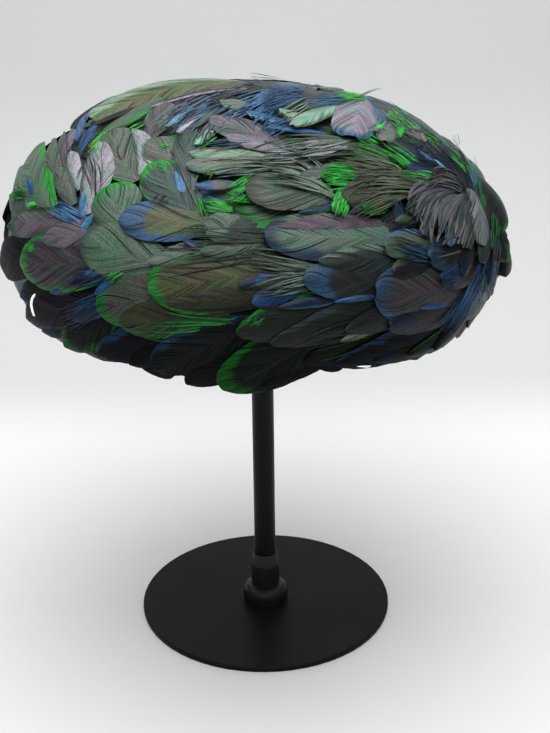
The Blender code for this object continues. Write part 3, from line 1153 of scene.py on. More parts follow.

# Each chart's tone scales its dyes: partly the feathers' own dye, partly painted shade, darkest at the lower
# rim and lightest on top.
RIM = Chart(0.20, (
    Plume((2, 262), (78, 246), 50, Dye.AUBERGINE, Dye.NAVY, (0, 0.3, 0), BLUNT, lift=1.5),
    Plume((28, 318), (105, 298), 36, Dye.AUBERGINE, Dye.STEEL_BLUE, (0, 0.2, 0), lift=1.0),
    Plume((22, 296), (85, 280), 30, Dye.CHARCOAL, Dye.STEEL_BLUE, (0.12, 0, 0), ROUND, -1),
    Plume((66, 346), (125, 306), 36, Dye.CHARCOAL, Dye.GREEN, (0.14, 0.2, 0)),
    Plume((44, 331), (100, 304), 28, Dye.BLACK, Dye.NAVY, (0.2, 0, 0), ROUND, -1),
    Plume((99, 354), (195, 320), 34, Dye.NAVY_BLACK, Dye.STEEL_BLUE, (0, 0, 0.3)),
    Plume((130, 363), (215, 332), 24, Dye.BLACK, Dye.CHARCOAL, (0, 0, 0), ROUND, -1),
    Plume((153, 367), (255, 321), 44, Dye.CHARCOAL, Dye.STEEL_BLUE, (0, 0, 0.22), ROUND, 1),
    Plume((186, 383), (270, 345), 30, Dye.BLACK, Dye.CHARCOAL, (0, 0, 0), ROUND, -1),
    Plume((221, 388), (348, 312), 62, Dye.BLACK_GREEN, Dye.GREEN, (0.13, 0, 0.16), ROUND, 2, quill=0.1),
    Plume((262, 386), (340, 342), 26, Dye.BLACK, Dye.CHARCOAL, (0, 0, 0), LONG, -1),
    Plume((304, 363), (394, 325), 32, Dye.BLACK_GREEN, Dye.NAVY_BLACK, (0, 0.3, 0), LONG),
    Plume((334, 364), (462, 312), 42, Dye.NAVY_BLACK, Dye.STEEL_BLUE, (0, 0, 0.3), LONG, 2),
    Plume((340, 341), (388, 321), 11, Dye.PALE_GREY_GREEN, Dye.YELLOW_GREEN, (0, 0.3, 0), LONG, 5, tone=1.6),
    Plume((374, 361), (444, 336), 24, Dye.BLACK, Dye.NAVY, (0.2, 0, 0), LONG),
    Plume((408, 356), (464, 320), 24, Dye.BLACK_GREEN, Dye.GREEN, (0, 0.2, 0.2), LONG, 1),
    Plume((432, 350), (474, 300), 22, Dye.NAVY_BLACK, Dye.ROYAL, (0, 0.3, 0)),
))

MIDDLE = Chart(0.46, (
    Plume((21, 262), (125, 262), 58, Dye.PURPLE_BROWN, Dye.GREEN, (0.10, 0.10, 0.16), ROUND, 3, lift=1.0),
    Plume((82, 240), (170, 268), 50, Dye.GREY_GREEN, Dye.SLATE, (0.06, 0, 0), ROUND, 5, tone=1.1),
    Plume((98, 309), (185, 288), 50, Dye.BROWN_GREY, Dye.GREEN, (0.12, 0.32, 0), ROUND, 3, tone=0.6),
    Plume((120, 322), (230, 312), 36, Dye.OLIVE_BROWN, Dye.GREEN, (0, 0.4, 0), ROUND, 2, tone=0.5),
    Plume((149, 288), (280, 270), 62, Dye.OLIVE_BROWN, Dye.GREEN, (0.08, 0.10, 0.16), ROUND, 4),
    Plume((166, 304), (306, 286), 26, Dye.OLIVE_BROWN, Dye.BLACK_GREEN, (0, 0.3, 0), LONG, 5, tone=0.4),
    Plume((238, 286), (292, 273), 13, Dye.ROYAL, Dye.NAVY, (0.3, 0, 0), SPLIT, 6),
    Plume((252, 303), (308, 286), 18, Dye.ROYAL, Dye.NAVY, (0, 0.3, 0), ROUND, 5, tone=0.7),
    Plume((278, 307), (345, 297), 10, Dye.NAVY, Dye.STEEL_BLUE, (0, 0.4, 0), LONG, 4),
    Plume((303, 278), (404, 284), 34, Dye.CHARCOAL, Dye.STEEL_BLUE, (0.22, 0, 0.2), ROUND, 6, tone=0.8),
    Plume((236, 334), (336, 302), 40, Dye.BLACK_GREEN, Dye.GREEN, (0, 0, 0.25), LONG, 3, tone=0.6),
    Plume((270, 344), (400, 294), 34, Dye.BLACK_GREEN, Dye.SLATE, (0, 0, 0.3), LONG, 3, tone=0.6),
    Plume((344, 330), (440, 292), 30, Dye.CHARCOAL, Dye.NAVY, (0, 0.3, 0), LONG, 3, tone=0.5),
    Plume((374, 292), (470, 294), 60, Dye.PURPLE_BROWN, Dye.STEEL_BLUE, (0.10, 0.16, 0), ROUND, 6, tone=0.75),
    Plume((334, 302), (386, 293), 6, Dye.STEEL_BLUE, Dye.ROYAL, (0.3, 0, 0), LONG, 7),
    Plume((388, 326), (466, 302), 28, Dye.CHARCOAL, Dye.NAVY, (0.3, 0, 0.3), ROUND, 5, tone=0.5),
    Plume((420, 308), (454, 303), 6, Dye.ROYAL, Dye.BLACK, (0, 0, 0), LONG, 8),
    Plume((78, 278), (124, 261), 12, Dye.STEEL_BLUE, Dye.NAVY, (0.2, 0, 0), LONG, 5),
    Plume((50, 293), (90, 282), 12, Dye.STEEL_BLUE, Dye.NAVY, (0, 0.3, 0), LONG, 3),
    Plume((95, 294), (130, 272), 13, Dye.ROYAL, Dye.STEEL_BLUE, (0, 0.3, 0), LONG, 6),
    Plume((74, 320), (112, 302), 16, Dye.NAVY, Dye.ROYAL, (0, 0.4, 0), LONG, 4),
))

CENTRE = Chart(0.22, (
    Plume((204, 222), (262, 240), 30, Dye.SLATE, Dye.MINT, (0.4, 0, 0), ROUND, 7),
    Plume((200, 252), (272, 240), 22, Dye.GREY_GREEN, Dye.GREEN, (0, 0, 0.35), LONG, 6, tone=1.3),
    Plume((322, 178), (356, 166), 26, Dye.BRIGHT_GREEN, Dye.GREEN, (0, 0.3, 0), SPLIT, 11),
    Plume((336, 214), (346, 184), 16, Dye.BRIGHT_GREEN, Dye.GREEN, (0, 0.4, 0), SPLIT, 11),
    Plume((352, 152), (408, 166), 20, Dye.GREEN, Dye.OLIVE, (0, 0.4, 0), SPLIT, 11),
    Plume((388, 154), (432, 180), 18, Dye.BRIGHT_GREEN, Dye.BROWN_GREY, (0, 0, 0.4), SPLIT, 12),
    Plume((262, 158), (324, 184), 30, Dye.PALE_GREY_GREEN, Dye.SLATE, (0, 0, 0.3), ROUND, 11, bow=0.12),
    Plume((183, 240), (210, 254), 10, Dye.ROYAL, Dye.BLACK, (0, 0, 0), LONG, 6, quill=1.0),
    Plume((245, 190), (332, 193), 44, Dye.PALE_GREY_GREEN, Dye.BROWN_GREY, (0.1, 0, 0), ROUND, 10),
    Plume((264, 236), (390, 238), 46, Dye.MINT, Dye.STEEL_BLUE, (0.09, 0.42, 0), ROUND, 9, quill=0.2),
    Plume((278, 227), (382, 224), 22, Dye.PINK_MAUVE, Dye.SLATE, (0, 0.2, 0), LONG, 10, tone=1.5),
    Plume((250, 259), (308, 268), 13, Dye.MAUVE, Dye.MINT, (0, 0.3, 0), LONG, 8),
    Plume((256, 286), (316, 274), 14, Dye.SLATE, Dye.MINT, (0, 0.3, 0), LONG, 5),
    Plume((345, 201), (405, 184), 38, Dye.OLIVE, Dye.BROWN_GREY, (0, 0, 0.3), ROUND, 9),
    Plume((361, 208), (388, 205), 18, Dye.GREEN, Dye.BRIGHT_GREEN, (0, 0.4, 0), ROUND, 11),
    Plume((384, 248), (436, 240), 28, Dye.PALE_GREY_GREEN, Dye.LIGHT_BLUE, (0, 0, 0.25), ROUND, 9),
    Plume(
        (429, 259), (478, 244), 32, Dye.CHARCOAL, Dye.STEEL_BLUE, (0.2, 0, 0), ROUND, 10,
        quill=1.0, tone=0.8,
    ),
    Plume((440, 280), (488, 264), 24, Dye.CHARCOAL, Dye.ROYAL, (0.3, 0, 0), ROUND, 9, tone=0.6),
    Plume((148, 262), (232, 250), 28, Dye.PALE_GREY_GREEN, Dye.BLACK_GREEN, (0, 0.25, 0), LONG, 5, tone=1.5),
    Plume((318, 262), (412, 254), 26, Dye.SLATE, Dye.MINT, (0, 0, 0.4), LONG, 7),
    Plume((392, 272), (440, 262), 22, Dye.CHARCOAL, Dye.BROWN_GREY, (0, 0, 0.4), ROUND, 8, tone=0.7),
    Plume((298, 213), (344, 205), 9, Dye.STEEL_BLUE, Dye.GREEN, (0, 0.4, 0), LONG, 9),
    Plume((395, 222), (440, 206), 16, Dye.BROWN_GREY, Dye.GREY_GREEN, (0.3, 0, 0), LONG, 9),
))

LEFT = Chart(0.62, (
    Plume((9, 226), (92, 220), 32, Dye.MAUVE, Dye.DARK_GREEN, (0.14, 0, 0.2), ROUND, 3, lift=1.0),
    Plume((38, 146), (52, 210), 38, Dye.GREY_GREEN, Dye.GREEN, (0, 0, 0.3), ROUND, 4, lift=1.5),
    Plume((22, 168), (36, 212), 26, Dye.GREY_GREEN, Dye.SLATE, (0, 0.2, 0), ROUND, 3, lift=1.0),
    Plume((29, 178), (34, 198), 7, Dye.ROYAL, Dye.STEEL_BLUE, (0, 0, 0), LONG, 8, lift=1.5),
    Plume((12, 195), (30, 222), 20, Dye.SLATE, Dye.GREEN, (0.2, 0, 0), ROUND, 2, lift=1.0),
    Plume((52, 146), (56, 202), 8, Dye.GREEN, Dye.BRIGHT_GREEN, (0, 0.4, 0), LONG, 9, lift=1.0),
    Plume((75, 130), (58, 166), 17, Dye.LILAC, Dye.MAUVE, (0, 0.3, 0), ROUND, 7, lift=1.0),
    Plume(
        (54, 141), (62, 180), 20, Dye.BROWN_GREY, Dye.GREY_GREEN, (0, 0.3, 0), ROUND, 5,
        lift=1.5, twist=1.5, crest=1.5,
    ),
    Plume(
        (66, 134), (66, 172), 16, Dye.MAUVE, Dye.BROWN_GREY, (0, 0.3, 0), ROUND, 5,
        lift=1.5, twist=1.5, crest=1.5,
    ),
    Plume((60, 168), (74, 205), 18, Dye.BROWN_GREY, Dye.SLATE, (0, 0, 0.3), ROUND, 5, lift=1.0),
    Plume((72, 152), (80, 190), 15, Dye.SILVER, Dye.BROWN_GREY, (0, 0.4, 0), ROUND, 7, lift=1.0),
    Plume((102, 143), (90, 214), 32, Dye.SILVER, Dye.MAUVE, (0, 0.3, 0), ROUND, 8, lift=1.5, bow=0.06),
    Plume((84, 192), (84, 222), 9, Dye.LIGHT_BLUE, Dye.STEEL_BLUE, (0, 0.3, 0), LONG, 11),
    Plume((94, 214), (78, 236), 10, Dye.LIGHT_BLUE, Dye.STEEL_BLUE, (0, 0.3, 0), LONG, 10),
    Plume((116, 130), (140, 180), 46, Dye.BROWN_GREY, Dye.GREEN, (0, 0.10, 0), ROUND, 9, lift=1.5, bow=-0.08),
    # A narrow silver feather along the right of the grey one below: painted highlight.
    Plume((134, 130), (140, 176), 18, Dye.SILVER, Dye.BROWN_GREY, (0, 0.4, 0), ROUND, 11, lift=1.5, bow=0.12),
    Plume((112, 184), (124, 232), 46, Dye.GREY_GREEN, Dye.GREEN, (0.12, 0, 0), ROUND, 6, lift=0.5),
    Plume((45, 240), (112, 230), 30, Dye.MAUVE, Dye.CHARCOAL, (0, 0.2, 0), ROUND, 4, lift=0.5),
    Plume((150, 164), (196, 216), 44, Dye.SLATE, Dye.GREEN, (0.10, 0.16, 0), ROUND, 9, lift=0.5),
    Plume((176, 172), (186, 202), 9, Dye.LIGHT_BLUE, Dye.STEEL_BLUE, (0, 0.3, 0), LONG, 12, lift=0.5),
    Plume((150, 140), (184, 168), 36, Dye.BROWN_GREY, Dye.MINT, (0, 0.14, 0), ROUND, 10, lift=1.5),
    Plume((190, 131), (188, 184), 30, Dye.SLATE, Dye.GREEN, (0, 0, 0.14), ROUND, 10, lift=1.5),
    Plume((172, 147), (203, 217), 2, Dye.BROWN_GREY, Dye.MINT, (0, 0, 0), LONG, 15, lift=1.0),
    Plume((163, 98), (97, 142), 25, Dye.GREY_GREEN, Dye.GREEN, (0, 0, 0.30), ROUND, 8, lift=2.0),
    Plume((168, 103), (150, 138), 26, Dye.MAUVE, Dye.BROWN_GREY, (0, 0.2, 0), ROUND, 9, lift=2.0),
    Plume((97, 124), (80, 152), 12, Dye.ROYAL, Dye.LIGHT_BLUE, (0, 0.4, 0), SPLIT, 9, lift=2.0),
    Plume((30, 250), (96, 244), 26, Dye.CHARCOAL, Dye.GREEN, (0.1, 0, 0), ROUND, 2, lift=0.5),
    Plume((120, 219), (216, 224), 42, Dye.OLIVE, Dye.STEEL_BLUE, (0.28, 0.30, 0.2), ROUND, 9),
))

TOP = Chart(0.85, (
    Plume(
        (98, 124), (252, 84), 40, Dye.OLIVE, Dye.PALE_GREY_GREEN, (0, 0, 0.55), LONG, 10,
        lift=1.0, bow=0.05, twist=5.2, crest=2.0,
    ),
    Plume(
        (73, 131), (186, 86), 22, Dye.BLACK, Dye.NAVY, (0, 0.3, 0), LONG, 7,
        lift=1.0, bow=0.07, twist=1.5, crest=2.0,
    ),
    Plume((76, 141), (116, 96), 11, Dye.STEEL_BLUE, Dye.ROYAL, (0, 0.3, 0), LONG, 12, lift=2.5),
    Plume((92, 127), (190, 98), 13, Dye.BLACK, Dye.NAVY, (0, 0, 0.5), LONG, 12, lift=2.0, bow=0.05),
    Plume((148, 108), (246, 88), 9, Dye.NAVY, Dye.LILAC, (0, 0.5, 0), LONG, 14, lift=2.0, bow=0.03),
    Plume((166, 128), (214, 98), 11, Dye.LIGHT_BLUE, Dye.LILAC, (0, 0.4, 0), LONG, 12, lift=2.0),
    Plume((178, 134), (210, 108), 15, Dye.SILVER, Dye.LILAC, (0, 0.4, 0), SPLIT, 13, lift=1.5),
    Plume((196, 128), (236, 100), 12, Dye.SLATE, Dye.BLACK, (0, 0.4, 0), LONG, 13, lift=1.5),
    Plume((196, 146), (220, 120), 15, Dye.MINT, Dye.SLATE, (0, 0.3, 0), SPLIT, 11, lift=1.5),
    Plume((211, 118), (284, 148), 34, Dye.MAUVE, Dye.PURPLE_BROWN, (0, 0, 0.4), ROUND, 14, lift=1.0),
    Plume((226, 136), (286, 152), 20, Dye.LILAC, Dye.MAUVE, (0, 0.3, 0), ROUND, 13, lift=0.5, tone=0.85),
    Plume((186, 166), (284, 164), 26, Dye.BROWN_GREY, Dye.SLATE, (0, 0.2, 0), ROUND, 12, lift=0.5),
    Plume((190, 154), (270, 156), 20, Dye.PALE_GREY_GREEN, Dye.BROWN_GREY, (0, 0, 0.4), ROUND, 11, lift=0.5),
    Plume((194, 186), (236, 184), 12, Dye.MAUVE, Dye.STEEL_BLUE, (0.4, 0, 0), LONG, 12),
    Plume((220, 102), (262, 110), 22, Dye.BROWN_GREY, Dye.MINT, (0, 0, 0.3), ROUND, 12, lift=1.5),
    Plume((246, 112), (288, 124), 13, Dye.STEEL_BLUE, Dye.LIGHT_BLUE, (0, 0.4, 0), SPLIT, 13, lift=1.0),
    Plume((279, 110), (310, 126), 17, Dye.PALE_GREY_GREEN, Dye.BLACK_GREEN, (0, 0.4, 0), SPLIT, 14, lift=0.5),
    Plume((292, 127), (340, 106), 20, Dye.MINT, Dye.GREY_GREEN, (0, 0.3, 0), ROUND, 15, lift=0.5, tone=0.8),
    Plume((262, 128), (326, 134), 9, Dye.ROYAL, Dye.NAVY, (0, 0.4, 0), LONG, 13, lift=0.5),
    Plume((306, 90), (326, 90), 10, Dye.BROWN_GREY, Dye.BLACK, (0, 0, 0), ROUND, 13, lift=1.0),
    Plume((318, 90), (342, 90), 14, Dye.BROWN_GREY, Dye.SLATE, (0, 0.3, 0), ROUND, 13, lift=1.0),
    Plume((350, 138), (358, 98), 42, Dye.LILAC, Dye.STEEL_BLUE, (0.06, 0.14, 0), BLUNT, 14),
    Plume((384, 142), (392, 116), 24, Dye.BROWN_GREY, Dye.SLATE, (0, 0.2, 0), ROUND, 13),
    Plume((374, 132), (384, 120), 12, Dye.BRIGHT_GREEN, Dye.GREY_GREEN, (0.25, 0.4, 0.35), SPLIT, 15),
    Plume((400, 138), (396, 112), 10, Dye.GREY_GREEN, Dye.GREEN, (0.3, 0, 0), LONG, 13),
    Plume((426, 142), (396, 114), 12, Dye.BROWN_GREY, Dye.SLATE, (0, 0.3, 0), LONG, 13),
    Plume((300, 176), (372, 166), 20, Dye.SLATE, Dye.BROWN_GREY, (0, 0.4, 0), SPLIT, 11),
    Plume((405, 168), (460, 176), 26, Dye.NAVY_BLACK, Dye.NAVY, (0.3, 0, 0), SPLIT, 11),
    Plume((395, 150), (440, 158), 24, Dye.NAVY, Dye.NAVY_BLACK, (0, 0.4, 0), SPLIT, 10),
    Plume((386, 112), (424, 132), 22, Dye.BROWN_GREY, Dye.GREEN, (0, 0.3, 0.25), SPLIT, 12),
    Plume((398, 112), (440, 140), 16, Dye.SLATE, Dye.BRIGHT_GREEN, (0, 0, 0.35), SPLIT, 13),
    Plume((404, 132), (438, 150), 14, Dye.MAUVE, Dye.CHARCOAL, (0, 0.4, 0), LONG, 14),
    Plume((420, 128), (452, 154), 12, Dye.CHARCOAL, Dye.GREEN, (0, 0, 0.4), SPLIT, 14),
    Plume((436, 138), (464, 170), 14, Dye.SLATE, Dye.NAVY, (0, 0.4, 0), SPLIT, 14),
    Plume((456, 150), (474, 180), 12, Dye.BLACK_GREEN, Dye.BRIGHT_GREEN, (0, 0, 0.45), SPLIT, 14),
    Plume((418, 152), (446, 172), 12, Dye.STEEL_BLUE, Dye.NAVY_BLACK, (0, 0.4, 0), SPLIT, 14),
    Plume((432, 160), (452, 178), 12, Dye.LIGHT_BLUE, Dye.NAVY_BLACK, (0, 0.6, 0), SPLIT, 15),
    # Silver strands across the top: painted highlight on the barbs.
    Plume((268, 152), (352, 140), 12, Dye.SILVER, Dye.BROWN_GREY, (0, 0.4, 0), LONG, 12, bow=-0.06),
    Plume((300, 150), (372, 142), 10, Dye.BROWN_GREY, Dye.BLACK, (0, 0.4, 0), LONG, 13, bow=0.08),
    Plume((410, 130), (450, 150), 20, Dye.CHARCOAL, Dye.MAUVE, (0, 0.4, 0), SPLIT, 10),
))

WHORL = Chart(0.24, (
    Plume((481, 264), (476, 184), 26, Dye.SLATE, Dye.SILVER, (0, 0.3, 0), ROUND, 15),
    # A pale silver feather over the whorl's right feather: painted highlight where it catches the light.
    Plume((481, 246), (471, 190), 34, Dye.SILVER, Dye.SLATE, (0, 0.3, 0.2), ROUND, 17, tone=1.25),
    Plume((470, 250), (462, 192), 16, Dye.SLATE, Dye.SILVER, (0, 0.3, 0), LONG, 16),
    Plume((424, 236), (452, 192), 24, Dye.SLATE, Dye.SILVER, (0, 0, 0.3), SPLIT, 14, bow=0.10, quill=1.0),
    Plume((408, 214), (452, 190), 22, Dye.SILVER, Dye.SLATE, (0.3, 0, 0), SPLIT, 14, bow=0.12),
    Plume((448, 246), (458, 194), 22, Dye.SLATE, Dye.LIGHT_BLUE, (0.2, 0, 0), SPLIT, 14),
    Plume(
        (494, 230), (476, 174), 28, Dye.CHARCOAL, Dye.GREEN, (0, 0.3, 0.2), ROUND, 13,
        twist=-4.0, crest=1.8,
    ),
    Plume(
        (498, 262), (488, 206), 24, Dye.BLACK_GREEN, Dye.GREEN, (0, 0.25, 0), SPLIT, 13,
        twist=-3.8, crest=1.2,
    ),
    Plume((494, 256), (486, 212), 9, Dye.LIGHT_BLUE, Dye.STEEL_BLUE, (0, 0.3, 0), LONG, 16),
    Plume(
        (499, 276), (500, 232), 24, Dye.BLACK, Dye.NAVY_BLACK, (0, 0.3, 0), LONG, 12,
        twist=-2.2, crest=2.4, bow=-0.08,
    ),
    Plume((487, 284), (490, 240), 18, Dye.NAVY_BLACK, Dye.ROYAL, (0.4, 0, 0), LONG, 11),
    Plume((462, 276), (468, 226), 20, Dye.CHARCOAL, Dye.NAVY, (0.3, 0, 0), SPLIT, 12),
))

